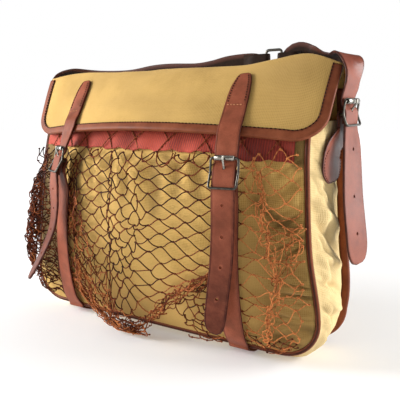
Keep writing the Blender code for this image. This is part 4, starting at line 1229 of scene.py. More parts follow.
    def back(self) -> None:
        """Make the back canvas."""
        outline = BAG.back_outline(0.0)
        rows = []
        for z in outline.heights(self.rows, self.arc):
            reach = outline.half_at(z)
            row = []
            for j in range(self.columns + 1):
                x = reach * (2.0 * j / self.columns - 1.0)
                point = BAG.back(x, z)
                edge = min(1.0, (reach - self.back_margin - abs(x)) / self.back_calm,
                           (z - self.back_margin - BAG.back_low) / self.back_calm,
                           (self.back_free_top - z) / self.back_top_calm)
                rise = (self.back_lump * crumple(point, self.back_lump_size, 9.0)
                        + self.lump * crumple(point, self.lump_size, 4.0))
                spot = point + BAG.back_out(x, z) * rise * max(edge, 0.0)
                row.append(Mark(spot, (spot.x, z)))
            rows.append(row)
        draft = Draft()
        draft.grid(rows)
        draft.sheet("back_canvas", CANVAS_FINISH, Slot.CANVAS, CANVAS, "back_panel")

    def strap_dent(self, x: float) -> float:
        """Return 1 where a closing strap runs under the bottom, 0 away from it."""
        away = min(abs(x - closing.under_x) - closing.half - GAP for closing in CLOSINGS)
        return 1.0 - smooth_step(away / self.under_margin)

    def seams(self) -> list[tuple[Vector, Vector, Vector]]:
        """Lay out places along the gusset, from its right top round to its left top.

        Returns:
            For each its front seam, its back seam and the way out.
        """
        low_front = BAG.front_low + BAG.front_corner
        low_back = BAG.back_low + BAG.back_corner
        reach = BAG.back_corner - BAG.seam_margin
        result = []
        for side in Side:
            places = []
            for k in range(self.rows + 1):
                z = BAG.front_top + (low_front - BAG.front_top) * k / self.rows
                places.append((BAG.front_half(z) * side.sign, z,
                               (BAG.back_half(z) - BAG.seam_margin) * side.sign, z, RIGHTWARD * side.sign))
            for k in range(1, self.arc + 1):
                angle = 0.5 * math.pi * k / self.arc
                way = Vector((side.sign * math.cos(angle), 0.0, -math.sin(angle)))
                front_x = (BAG.front_half(low_front) - BAG.front_corner) * side.sign
                back_x = (BAG.back_half(low_back) - BAG.back_corner) * side.sign
                places.append((front_x + way.x * BAG.front_corner, low_front + way.z * BAG.front_corner,
                               back_x + way.x * reach, low_back + way.z * reach, way))
            if side is Side.RIGHT:
                edge = places[-1][0]
                for k in range(1, self.columns):
                    x = edge * (1.0 - 2.0 * k / self.columns)
                    places.append((x, BAG.front_low, x, BAG.back_low + BAG.seam_margin, -UP))
            else:
                places.reverse()
            for x_front, z_front, x_back, z_back, way in places:
                start = BAG.front(x_front, z_front)
                start.y += BAG.piping_radius + self.gusset_end_gap
                end = BAG.back(x_back, z_back)
                end.y -= CANVAS / 2.0 + self.gusset_end_gap
                result.append((start, end, way))
        return result

    def gusset(self) -> None:
        """Make the paler strip that forms both sides and the bottom."""
        rows = []
        length = 0.0
        before = None
        for start, end, way in self.seams():
            if before is not None:
                length += (start - before).length
            before = start
            bottom = way.z ** 4
            row = []
            for k in range(self.gusset_steps + 1):
                share = k / self.gusset_steps
                across = share * self.gusset_depth
                point = start.lerp(end, share)
                arch = smooth_step(min(share, 1.0 - share) / self.gusset_rounding)
                level = CANVAS / 2.0 + (TAB_LEATHER + GAP) * self.strap_dent(point.x)
                creases = self.side_crease_share.share(share) * noise.noise(
                    Vector(((across - point.z) / self.side_crease_length,
                            (across + point.z) / self.side_crease_pitch, 5.0)))
                rise = (fold_relief(self.side_folds, share, point.z, self.gusset_depth)
                        + self.side_crease * creases + self.side_lump * crumple(point, self.lump_size, 7.0))
                rise = (min(rise, self.side_limit) * arch * (1.0 - bottom)
                        * (1.0 - self.under_tab.share(point.z)) * self.side_free.share(share))
                point.x += way.x * (self.gusset_bulge * arch + rise)
                point.z += (level - point.z) * arch * bottom
                point.z = max(point.z, level)
                # Painted shade in the hollows of the side creases, none on the bottom.
                dark = min(max(-creases - self.side_dark_from, 0.0), self.side_most_dark) * (1.0 - bottom)
                row.append(Mark(point, (length, across), dark))
            rows.append(row)
        draft = Draft()
        draft.grid(rows)
        draft.sheet("gusset_canvas", GUSSET_FINISH, Slot.CANVAS, CANVAS, "gusset")


class Hem(NamedTuple):
    """Flap cloth behind the ridge, measured from the ridge line."""

    back: float
    down: float


class Wave(NamedTuple):
    """How much the flap's ridge rises or sags at a place across it."""

    place: float
    rise: float


class EdgePlace(NamedTuple):
    """A place on a cloth's edge in the cloth's own two directions, and the way out of the cloth."""

    u: float
    v: float
    out_u: float
    out_v: float


@dataclass(frozen=True, eq=False)
class FlapShape:
    """Surface of the flap: a is the place across its cloth, s the way down from its ridge."""

    half: float = 0.201
    drop: float = 0.095
    corner: float = 0.030
    arch: float = 0.003
    first_row: float = 0.004
    hems: tuple[Hem, ...] = (Hem(0.0185, 0.026), Hem(0.0165, 0.014), Hem(0.0120, 0.005), Hem(0.0055, 0.001))
    waves: tuple[Wave, ...] = (
        Wave(-0.2010, 0.0), Wave(-0.1675, 0.0010), Wave(-0.1340, 0.0012), Wave(-0.1005, -0.0006),
        Wave(-0.0670, -0.0020), Wave(-0.0335, -0.0024), Wave(0.0, -0.0016), Wave(0.0335, -0.0021),
        Wave(0.0670, -0.0022), Wave(0.1005, -0.0018), Wave(0.1340, 0.0035), Wave(0.1675, 0.0084),
        Wave(0.2010, 0.0),
    )
    ridge_pull: tuple[float, float, float] = (-0.0035, -0.0005, 0.0)
    edge_pull: tuple[float, float, float] = (-0.0075, -0.0040, 0.0)
    pull_power: int = 8
    ridge_y: float = 0.003
    ridge_bow: float = 0.014
    ridge_z: float = 0.303
    ridge_crown: float = 0.0045
    low_x: float = 0.008
    low_half: float = 0.1965
    low_y: float = -0.0425
    low_slant: float = 0.0130
    low_bow: float = 0.034
    low_z: float = 0.2290
    low_crown: float = 0.0115
    arch_way: tuple[float, float, float] = (0.0, -0.7, 0.7)

    def pull(self, a: float) -> float:
        """Return how much of its pull to the left the flap has at a place across it."""
        return min(max(0.5 - 0.5 * a / self.half, 0.0), 1.0) ** self.pull_power

    def ridge(self, a: float) -> Vector:
        """Find the flap's ridge, which bows forward and up and sags between the straps.

        Args:
            a: place across the cloth.

        Returns:
            The place.
        """
        across = a / self.half
        rise = read_table(self.waves, a)[1]
        ridge = Vector((a, self.ridge_y - self.ridge_bow * (1.0 - across * across),
                        self.ridge_z + self.ridge_crown * (1.0 - across ** 4) + rise))
        return ridge + Vector(self.ridge_pull) * self.pull(a)

    def low_edge(self, a: float) -> Vector:
        """Find the flap's lower edge, which follows the bag's swell.

        Args:
            a: place across the cloth.

        Returns:
            The place.
        """
        across = a / self.half
        crown = 1.0 - across * across
        edge = Vector((self.low_x + self.low_half * across,
                       self.low_y - self.low_slant * across - self.low_bow * crown,
                       self.low_z + self.low_crown * crown))
        return edge + Vector(self.edge_pull) * self.pull(a)

    def point(self, a: float, s: float) -> Vector:
        """Find a place on the middle of the flap's cloth.

        Args:
            a: place across the cloth.
            s: way down from the ridge.

        Returns:
            The place.
        """
        across = a / self.half
        share = s / self.drop
        arch = self.arch * (1.0 - 0.5 * across * across) * 4.0 * share * (1.0 - share)
        return self.ridge(a).lerp(self.low_edge(a), share) + Vector(self.arch_way) * arch

    def across(self, a: float, s: float) -> Vector:
        """Return the way along the flap to the viewer's right."""
        return (self.point(a + SLOPE_STEP, s) - self.point(a - SLOPE_STEP, s)).normalized()

    def out(self, a: float, s: float) -> Vector:
        """Return the outward direction of the flap."""
        down = self.point(a, s + SLOPE_STEP) - self.point(a, s - SLOPE_STEP)
        return down.cross(self.across(a, s)).normalized()

    def half_at(self, s: float) -> float:
        """Find half the width of the flap's cloth, with its two round corners.

        Args:
            s: way down from the ridge.

        Returns:
            The half width.
        """
        past = s - (self.drop - self.corner)
        if past <= 0.0:
            return self.half
        return self.half - self.corner + math.sqrt(max(self.corner ** 2 - past ** 2, 0.0))

    def edge(self, side_steps: int = 40, corner_steps: int = 16, bottom_steps: int = 120) -> list[EdgePlace]:
        """Follow the flap's free edge from its right top round to its left top.

        Args:
            side_steps: pieces of each side.
            corner_steps: pieces of each corner.
            bottom_steps: pieces of the lower edge.

        Returns:
            Its places.
        """
        straight = self.drop - self.corner
        centre = self.half - self.corner
        side = []
        for k in range(side_steps):
            share = k / side_steps
            side.append(EdgePlace(self.half, self.first_row * (1.0 - share) + straight * share, 1.0, 0.0))
        for k in range(corner_steps + 1):
            angle = 0.5 * math.pi * k / corner_steps
            out_a = math.cos(angle)
            out_s = math.sin(angle)
            side.append(EdgePlace(centre + self.corner * out_a, straight + self.corner * out_s, out_a, out_s))
        bottom = [EdgePlace(centre * (1.0 - 2.0 * k / bottom_steps), self.drop, 0.0, 1.0)
                  for k in range(1, bottom_steps)]
        return side + bottom + [EdgePlace(-a, s, -out_a, out_s) for a, s, out_a, out_s in reversed(side)]


FLAP = FlapShape()


class Stitch(NamedTuple):
    """How a seam is sewn: from stitch to stitch, a stitch's length, its thread and how it stands out."""

    pitch: float
    length: float
    width: float
    stand: float = 0.22


class Stitching:
    """Rows of sewn thread, all joined in one mesh for each finish."""

    def __init__(self, name: str, finish: Finish, stitch: Stitch) -> None:
        """Start an empty set of rows.

        Args:
            name: the piece's name.
            finish: its thread.
            stitch: how it is sewn.
        """
        self.name = name
        self.finish = finish
        self.stitch = stitch
        self.draft = Draft()

    def row(self, path: Line, outs: Line) -> None:
        """Sew one row along a path.

        Args:
            path: points on the surface that is sewn.
            outs: outward direction at each point.
        """
        lengths = path_lengths(path)
        i = 0
        for k in range(int(lengths[-1] / self.stitch.pitch)):
            place = (k + 0.5) * self.stitch.pitch
            while lengths[i + 1] < place:
                i += 1
            share = (place - lengths[i]) / (lengths[i + 1] - lengths[i])
            spot = path[i].lerp(path[i + 1], share) + outs[i] * (self.stitch.width * self.stitch.stand)
            way = (path[i + 1] - path[i]).normalized()
            self.draft.ball(spot, way, self.stitch.length, self.stitch.width)

    def publish(self) -> None:
        """Make and publish the joined mesh of all rows."""
        publish(self.draft.build(self.name, self.finish), Slot.CORD)


@dataclass(frozen=True)
class Binding:
    """Leather folded over a cloth's edge and sewn down on it."""

    name: str
    width: float
    gap: float
    sewn: float
    both_sides: bool
    stitch: Stitch = Stitch(0.0041, 0.0027, 0.0013)
    laid_step: float = 0.0012
    groove: float = 0.00018

    def section(self) -> list[tuple[float, float, float]]:
        """Draw the fold's section, from inside the front round the edge to inside the back.

        Returns:
            Inset from the edge, offset off the cloth's middle and edge value of each point.
        """
        inner = CANVAS / 2.0 + self.gap
        outer = inner + BINDING_LEATHER
        face = [(self.width, inner, 1.0), (self.width, outer - 0.0004, 1.0),
                (self.width - 0.0005, outer, 0.6), (self.width - 0.0016, outer - self.groove, 0.25),
                (self.width - 0.0028, outer, 0.0), (self.width * 0.3, outer, 0.0)]
        turn = []
        for k in range(7):
            angle = math.radians(75.0 - 25.0 * k)
            turn.append((-GAP - BINDING_LEATHER * math.cos(angle), outer * math.sin(angle), 0.12))
        back = [(inset, -offset, edge) for inset, offset, edge in reversed(face)]
        return face + turn + back + [(-GAP, -inner, 0.0), (-GAP, inner, 0.0)]

    def build(self, places: Sequence[EdgePlace], surface: Callable[[float, float], Vector],
              facing: Callable[[float, float], Vector]) -> None:
        """Fold the leather over an edge and sew it.

        Args:
            places: places along the edge.
            surface: gives the middle of the cloth for a place.
            facing: gives the cloth's outward direction for a place.
        """
        section = self.section()
        offset_sewn = CANVAS / 2.0 + self.gap + BINDING_LEATHER - self.groove
        loops = []
        fronts = []
        backs = []
        outs = []
        for u, v, out_u, out_v in places:
            out = facing(u, v)
            loops.append([surface(u - out_u * inset, v - out_v * inset) + out * offset
                          for inset, offset, _ in section])
            spot = surface(u - out_u * self.sewn, v - out_v * self.sewn)
            fronts.append(spot + out * offset_sewn)
            backs.append(spot - out * offset_sewn)
            outs.append(out)
        draft = Draft()
        draft.sweep(loops, path_lengths(fronts), [self.laid_step * k for k in range(len(section))],
                    [edge for _, _, edge in section])
        draft.body(self.name + "_leather", BINDING_FINISH, Slot.LEATHER, self.name)
        sewing = Stitching(self.name + "_stitches", THREAD_FINISH, self.stitch)
        sewing.row(fronts, outs)
        if self.both_sides:
            sewing.row(backs, [-out for out in outs])
        sewing.publish()


@dataclass
class Flap:
    """Canvas flap with its folded leather binding, and the same round the back."""

    columns: int = 150
    rows: int = 56
    corner_rows: int = 14
    ridge_steps: int = 4
    calm: float = 0.03
    wave: float = 0.0011
    wave_size: float = 0.055
    ripple: float = 0.0004
    ripple_size: float = 0.018
    strap_places: tuple[float, float] = (0.109, -0.122)
    strap_free: Band = Band(0.020, 0.035)
    # Painted shade grows towards the flap's right, where the key light falls off; the patches are stains.
    shade_rightward: Band = Band(0.020, 0.160)
    right_painted_shade: float = 0.06
    handled_all_over: float = 0.05
    patch_dark: float = 0.24
    patch_lumps: tuple[float, float] = (16.0, 22.0)
    back_binding_low: float = 0.02
    most_stain_and_shade: float = 0.5
    binding: Binding = Binding("flap_binding", 0.0083, GAP * 1.3, 0.0075, True)
    back_binding: Binding = Binding("back_binding", 0.0070, GAP * 2.5, 0.0054, False)

    def lift(self, a: float, s: float) -> float:
        """Find the soft waves of the cloth between its binding and its straps.

        Args:
            a: place across the cloth.
            s: way down from the ridge.

        Returns:
            The rise.
        """
        point = FLAP.point(a, s)
        inside = min(FLAP.half_at(s) - abs(a), FLAP.drop - s) / self.calm
        free = min(self.strap_free.share(abs(a - place)) for place in self.strap_places)
        waves = (self.wave * crumple(point, self.wave_size, 5.0)
                 + self.ripple * crumple(point, self.ripple_size, 8.0))
        return smooth_step(inside) * free * waves

    def stain_and_shade(self, a: float, s: float) -> float:
        """Find how dark the cloth is drawn: stains in soft patches, and painted shade growing to the
        right, where the key light falls off.

        Args:
            a: place across the cloth.
            s: way down from the ridge.

        Returns:
            The edge value.
        """
        lumps_a, lumps_s = self.patch_lumps
        patch = noise.noise(Vector((a * lumps_a, s * lumps_s, 6.0)))
        dark = self.handled_all_over + self.patch_dark * patch
        dark += self.right_painted_shade * self.shade_rightward.share(a)
        return min(max(dark, 0.0), self.most_stain_and_shade)

    def build(self) -> None:
        """Make the flap and the bindings round it and round the back."""
        self.cloth()
        self.binding.build(FLAP.edge(), FLAP.point, FLAP.out)
        line = BAG.back_outline(self.back_binding_low).edge()
        ways = tangents([Vector((x, 0.0, z)) for x, z in line])
        places = [EdgePlace(x, z, -way.z, way.x) for (x, z), way in zip(line, ways)]
        self.back_binding.build(places, BAG.back, BAG.back_out)

    def cloth(self) -> None:
        """Make the canvas from its hem behind the ridge to its lower edge."""
        hems = [Vector((0.0, hem.back, -hem.down)) for hem in FLAP.hems] + [Vector((0.0, 0.0, 0.0))]
        straight = FLAP.drop - FLAP.corner
        stops = [straight * k / self.rows for k in range(self.rows + 1)]
        stops += [straight + FLAP.corner * math.sin(0.5 * math.pi * k / self.corner_rows)
                  for k in range(1, self.corner_rows + 1)]
        places = [2.0 * j / self.columns - 1.0 for j in range(self.columns + 1)]
        rows = []
        for step in spline(hems, self.ridge_steps)[:-1]:
            rows.append([Mark(FLAP.ridge(FLAP.half * place) + step, (FLAP.half * place, -step.length))
                         for place in places])
        for s in stops:
            half = FLAP.half_at(s)
            row = []
            for place in places:
                a = half * place
                row.append(Mark(FLAP.point(a, s) + FLAP.out(a, s) * self.lift(a, s), (a, s),
                                self.stain_and_shade(a, s)))
            rows.append(row)
        draft = Draft()
        draft.grid(rows)
        draft.sheet("flap_canvas", CANVAS_FINISH, Slot.CANVAS, CANVAS, "flap")


# How round a strap's pointed end is cut: 2 would be an ellipse
TIP_POWER = 2.2


class Strip(NamedTuple):
    """A strap's centre line with the way across it and half its width."""

    centres: list[Vector]
    across: list[Vector]
    halves: list[float]

    def pointed(self, length: float, at_end: bool = True, blunt: float = 0.35) -> "Strip":
        """Narrow one end to a rounded tip.

        Args:
            length: length of the narrowed part.
            at_end: whether it is the last end.
            blunt: width that is left at the very tip, as a share.

        Returns:
            The narrowed strip.
        """
        halves = list(self.halves)
        order = list(range(len(halves)))
        if at_end:
            order.reverse()
        travelled = 0.0
        previous = self.centres[order[0]]
        for i in order:
            travelled += (self.centres[i] - previous).length
            previous = self.centres[i]
            if travelled >= length:
                break
            share = 1.0 - travelled / length
            halves[i] *= blunt + (1.0 - blunt) * math.sqrt(max(1.0 - share ** TIP_POWER, 0.0))
        return Strip(self.centres, self.across, halves)


@dataclass(frozen=True)
class StrapCut:
    """Section of a strap cut from hide: rounded edges and a pressed crease along each."""

    thickness: float
    crease: float = 0.0020
    crease_depth: float = 0.00028
    crease_half: float = 0.0007
    suede: float = 1.0
    full_edge_half: float = 0.0045
    darker_part: Band = Band(0.25, 0.964)

    def section(self, half: float) -> list[tuple[float, float, float, float]]:
        """Draw the section for half a width.

        Args:
            half: half the strap's width at this place.

        Returns:
            Points round the section: across, out, edge value and flesh value.
        """
        t = self.thickness
        fit = min(1.0, half / self.full_edge_half)
        rim = [(0.22 * half, 0.5 * t, 0.0), (0.6 * half, 0.5 * t, 0.0),
               (half - (self.crease + self.crease_half) * fit, 0.5 * t, 0.0),
               (half - self.crease * fit, 0.5 * t - self.crease_depth, 0.55),
               (half - (self.crease - self.crease_half) * fit, 0.5 * t, 0.12),
               (half - 0.45 * t * fit, 0.47 * t, 0.45), (half - 0.12 * t * fit, 0.27 * t, 0.95),
               (half, 0.0, 1.0)]
        under = [(half - 0.12 * t * fit, -0.27 * t, 0.95), (half - 0.45 * t * fit, -0.47 * t, 0.5),
                 (0.7 * half, -0.5 * t, 0.0), (0.22 * half, -0.5 * t, 0.0), (0.0, -0.5 * t, 0.0)]
        ring = [(0.0, 0.5 * t, 0.0, 0.0)]
        ring += [(w, n, edge, 0.0) for w, n, edge in rim]
        ring += [(w, n, edge, (1.0 - edge) * self.suede) for w, n, edge in under]
        ring += [(-w, n, edge, (1.0 - edge) * self.suede) for w, n, edge in reversed(under[:-1])]
        ring += [(-w, n, edge, 0.0) for w, n, edge in reversed(rim)]
        return ring

    def sweep(self, name: str, strip: Strip, finish: Finish, painted_shade_length: float = 0.0,
              darker_end: float = 0.0) -> bpy.types.Object:
        """Make a strap with this section.

        Args:
            name: the strap's name.
            strip: centre line, ways across and half widths.
            finish: its leather.
            painted_shade_length: how much of its start, its loop round the ring, takes the dark flesh colour
            on both sides, as painted shade.
            darker_end: how much darker its lower end is drawn.

        Returns:
            The strap.
        """
        loops = []
        for centre, way, across, half in zip(strip.centres, tangents(strip.centres), strip.across,
                                             strip.halves):
            face = way.cross(across).normalized()
            side = face.cross(way).normalized()
            loops.append([centre + side * w + face * n for w, n, _, _ in self.section(half)])
        ring = self.section(max(strip.halves))
        lengths = path_lengths(strip.centres)
        draft = Draft()
        draft.sweep(loops, lengths, [w for w, _, _, _ in ring], [edge for _, _, edge, _ in ring],
                    [flesh for _, _, _, flesh in ring])
        # The lower end is drawn darker, and the start's loop round the ring takes the flesh colour on both
        # sides as painted shade.
        for i, length in enumerate(lengths):
            dark = darker_end * self.darker_part.share(length / lengths[-1])
            for j in range(i * len(ring), (i + 1) * len(ring)):
                draft.edge[j] = min(draft.edge[j] + dark, 1.0)
                if length < painted_shade_length:
                    draft.flesh[j] = 1.0
        piece = draft.build(name, finish)
        face_outward(piece)
        return piece


def punch(piece: bpy.types.Object, spots: Sequence[tuple[Vector, Vector]], radius: float,
          reach: float = 0.006, sides: int = 14) -> None:
    """Cut round holes through a strap.

    Args:
        piece: the strap.
        spots: middle and direction of each hole.
        radius: radius of the holes.
        reach: how far a hole reaches to both sides of its middle.
        sides: points round a hole.
    """
    draft = Draft()
    for spot, way in spots:
        draft.tube([spot - way * reach, spot + way * reach], radius, sides, hint=way.orthogonal())
    tool = draft.build(piece.name + "_punch", STRAP_FINISH, smooth=False)
    face_outward(tool)
    step = piece.modifiers.new("cut", "BOOLEAN")
    step.operation = "DIFFERENCE"
    step.solver = "EXACT"
    step.object = tool
    piece.modifiers.new("even", "WEIGHTED_NORMAL").keep_sharp = True
    graph = bpy.context.evaluated_depsgraph_get()
    mesh = bpy.data.meshes.new_from_object(piece.evaluated_get(graph), preserve_all_data_layers=True,
                                           depsgraph=graph)
    piece.modifiers.clear()
    old = piece.data
    piece.data = mesh
    mesh.name = piece.name
    bpy.data.meshes.remove(old)
    bpy.data.objects.remove(tool, do_unlink=True)


class Place(NamedTuple):
    """Where a buckle sits: its centre bar, up along the strap, outward and across."""

    origin: Vector
    up: Vector
    out: Vector
    across: Vector

    def at(self, u: float, n: float, w: float = 0.0) -> Vector:
        """Return a point up, out and across from the centre bar."""
        return self.origin + self.up * u + self.out * n + self.across * w

    def round_bar(self, radius: float, steps: int = 12) -> list[Vector]:
        """Bend a line round the centre bar, from its outside over its top to its inside.

        Args:
            radius: radius of the bend.
            steps: pieces of the bend.

        Returns:
            The bend's points.
        """
        result = []
        for k in range(steps + 1):
            angle = math.radians(90.0 - 180.0 * k / steps)
            result.append(self.at(radius * math.cos(angle), radius * math.sin(angle)))
        return result


@dataclass(frozen=True)
class RollerBuckle:
    """Bent wire frame with its centre bar, a roller on the upper bar and a prong."""

    half_width: float
    rise: float
    fall: float
    corner: float
    roller_radius: float
    wire: float = 0.00118
    wire_sides: int = 14
    bow: float = 0.62
    bend_steps: int = 6
    roller_sides: int = 28
    roller_play: float = 0.0012
    roller_soft: float = 0.0004
    prong_sides: int = 12
    prong_play: float = 0.0002
    prong_hang: float = 335.0
    prong_turn: float = 245.0
    prong_steps: int = 6
    prong_taper: int = 6
    prong_tip: float = 0.75
    hole_share: float = 0.62
    prong_knee: tuple[float, float] = (0.45, 0.50)
    prong_straight: float = 0.85
    prong_past: float = 0.7
    clear: float = 0.003
    far_clear: float = 0.004

    def roller_out(self) -> float:
        """Return how far out the roller's middle lies."""
        return STRAP_AT_ROLLER + STRAP_LEATHER / 2.0 + GAP + self.roller_radius

    def low_bar_out(self) -> float:
        """Return how far out the lower bar lies."""
        return STRAP_OVER_TAB + STRAP_LEATHER / 2.0 + GAP + WIRE_RADIUS

    def prong_line(self) -> list[tuple[float, float]]:
        """Follow the prong round the bar, then over the roller.

        Returns:
            Up and out of each point.
        """
        radius = WIRE_RADIUS + GAP + PRONG_RADIUS + self.prong_play
        path = []
        for k in range(self.prong_steps + 1):
            angle = math.radians(self.prong_hang - self.prong_turn * k / self.prong_steps)
            path.append((radius * math.cos(angle), radius * math.sin(angle)))
        rest = self.roller_out() + self.roller_radius + GAP + PRONG_RADIUS
        along, share = self.prong_knee
        path.append((self.rise * along, radius + (rest - radius) * share))
        path.append((self.rise * self.prong_straight, rest))
        path.append((self.rise + self.roller_radius * self.prong_past, rest + self.prong_play))
        return path

    def prong_hole(self, place: Place) -> tuple[Vector, Vector]:
        """Find where the prong goes through the strap.

        Args:
            place: where the buckle sits.

        Returns:
            The hole's middle and its direction.
        """
        path = self.prong_line()
        start = place.at(*path[self.prong_steps])
        end = place.at(*path[self.prong_steps + 1])
        return start.lerp(end, self.hole_share), (end - start).normalized()

    def threaded_run(self, place: Place) -> list[Vector]:
        """Return a strap's line through the buckle, under its roller and under its lower bar."""
        return [place.at(u, n) for u, n in (
            (self.rise + self.far_clear, STRAP_AT_ROLLER + GAP), (self.rise - self.clear, STRAP_AT_ROLLER),
            (self.clear, STRAP_OVER_TAB - GAP), (-self.far_clear, STRAP_OVER_TAB),
            (-self.fall - self.clear, STRAP_OVER_TAB))]

    def build(self, name: str, place: Place) -> None:
        """Make the frame, the roller and the prong.

        Args:
            name: start of the pieces' names.
            place: where the buckle sits.
        """
        self.build_frame(name, place)
        self.build_roller(name, place)
        self.build_prong(name, place)

    def build_frame(self, name: str, place: Place) -> None:
        """Make the bent wire with its bar let into both sides.

        Args:
            name: start of the piece's name.
            place: where the buckle sits.
        """
        top = self.roller_out()
        low = self.low_bar_out()
        reach = self.half_width
        bend = self.corner
        middle = self.bow * (top + low) / 2.0
        right = [(self.rise, top, bend), (0.0, middle, bend * 0.8), (-self.fall, low, bend)]
        corners = [(place.at(u, n, reach), soft) for u, n, soft in right]
        corners += [(place.at(u, n, -reach), soft) for u, n, soft in reversed(right)]
        draft = Draft()
        draft.tube(rounded_loop(corners, self.bend_steps), self.wire, self.wire_sides, closed=True,
                   hint=place.out)
        dip = reach - bend
        bar = [place.at(0.0, middle, -reach), place.at(0.0, 0.0, -dip), place.at(0.0, 0.0),
               place.at(0.0, 0.0, dip), place.at(0.0, middle, reach)]
        draft.tube(spline(bar, 5), self.wire, self.wire_sides, hint=place.up)
        draft.body(name + "_wire", METAL_FINISH, Slot.METAL, name + "_frame")

    def build_roller(self, name: str, place: Place) -> None:
        """Make the rolled tube with its turned-in ends.

        Args:
            name: start of the piece's name.
            place: where the buckle sits.
        """
        half = self.half_width - self.corner - self.roller_play
        centre = place.at(self.rise, self.roller_out())
        outer = self.roller_radius
        inner = WIRE_RADIUS + GAP
        soft = self.roller_soft
        end = [(half * 0.3, outer), (half - soft, outer), (half, outer - soft), (half, inner)]
        profile = [(-w, r) for w, r in reversed(end)] + end
        turns = [2.0 * math.pi * k / self.roller_sides for k in range(self.roller_sides)]
        loops = []
        for angle in turns:
            turn = place.up * math.cos(angle) + place.out * math.sin(angle)
            loops.append([centre + place.across * w + turn * r for w, r in profile])
        draft = Draft()
        draft.sweep(loops, [outer * turn for turn in turns], [w for w, _ in profile], closed=True)
        draft.body(name + "_rolled_tube", ROLLER_FINISH, Slot.METAL, name + "_roller")

    def build_prong(self, name: str, place: Place) -> None:
        """Make the prong that hangs on the centre bar and rests on the roller.

        Args:
            name: start of the piece's name.
            place: where the buckle sits.
        """
        path = spline([place.at(u, n) for u, n in self.prong_line()], 4)
        radii = []
        for k in range(len(path)):
            share = min((len(path) - 1 - k) / self.prong_taper, 1.0)
            radii.append(PRONG_RADIUS * (self.prong_tip + (1.0 - self.prong_tip) * share))
        draft = Draft()
        draft.tube(path, radii, self.prong_sides, hint=place.across)
        draft.body(name + "_pin", ROLLER_FINISH, Slot.METAL, name + "_prong")


class Tail(NamedTuple):
    """A closing strap's free part: height, place across and distance off the front."""

    height: float
    x: float
    stand: float


class OnFlap(NamedTuple):
    """A closing strap's stitched part: way down the flap, share of its slant and lift."""

    down: float
    share: float
    lift: float


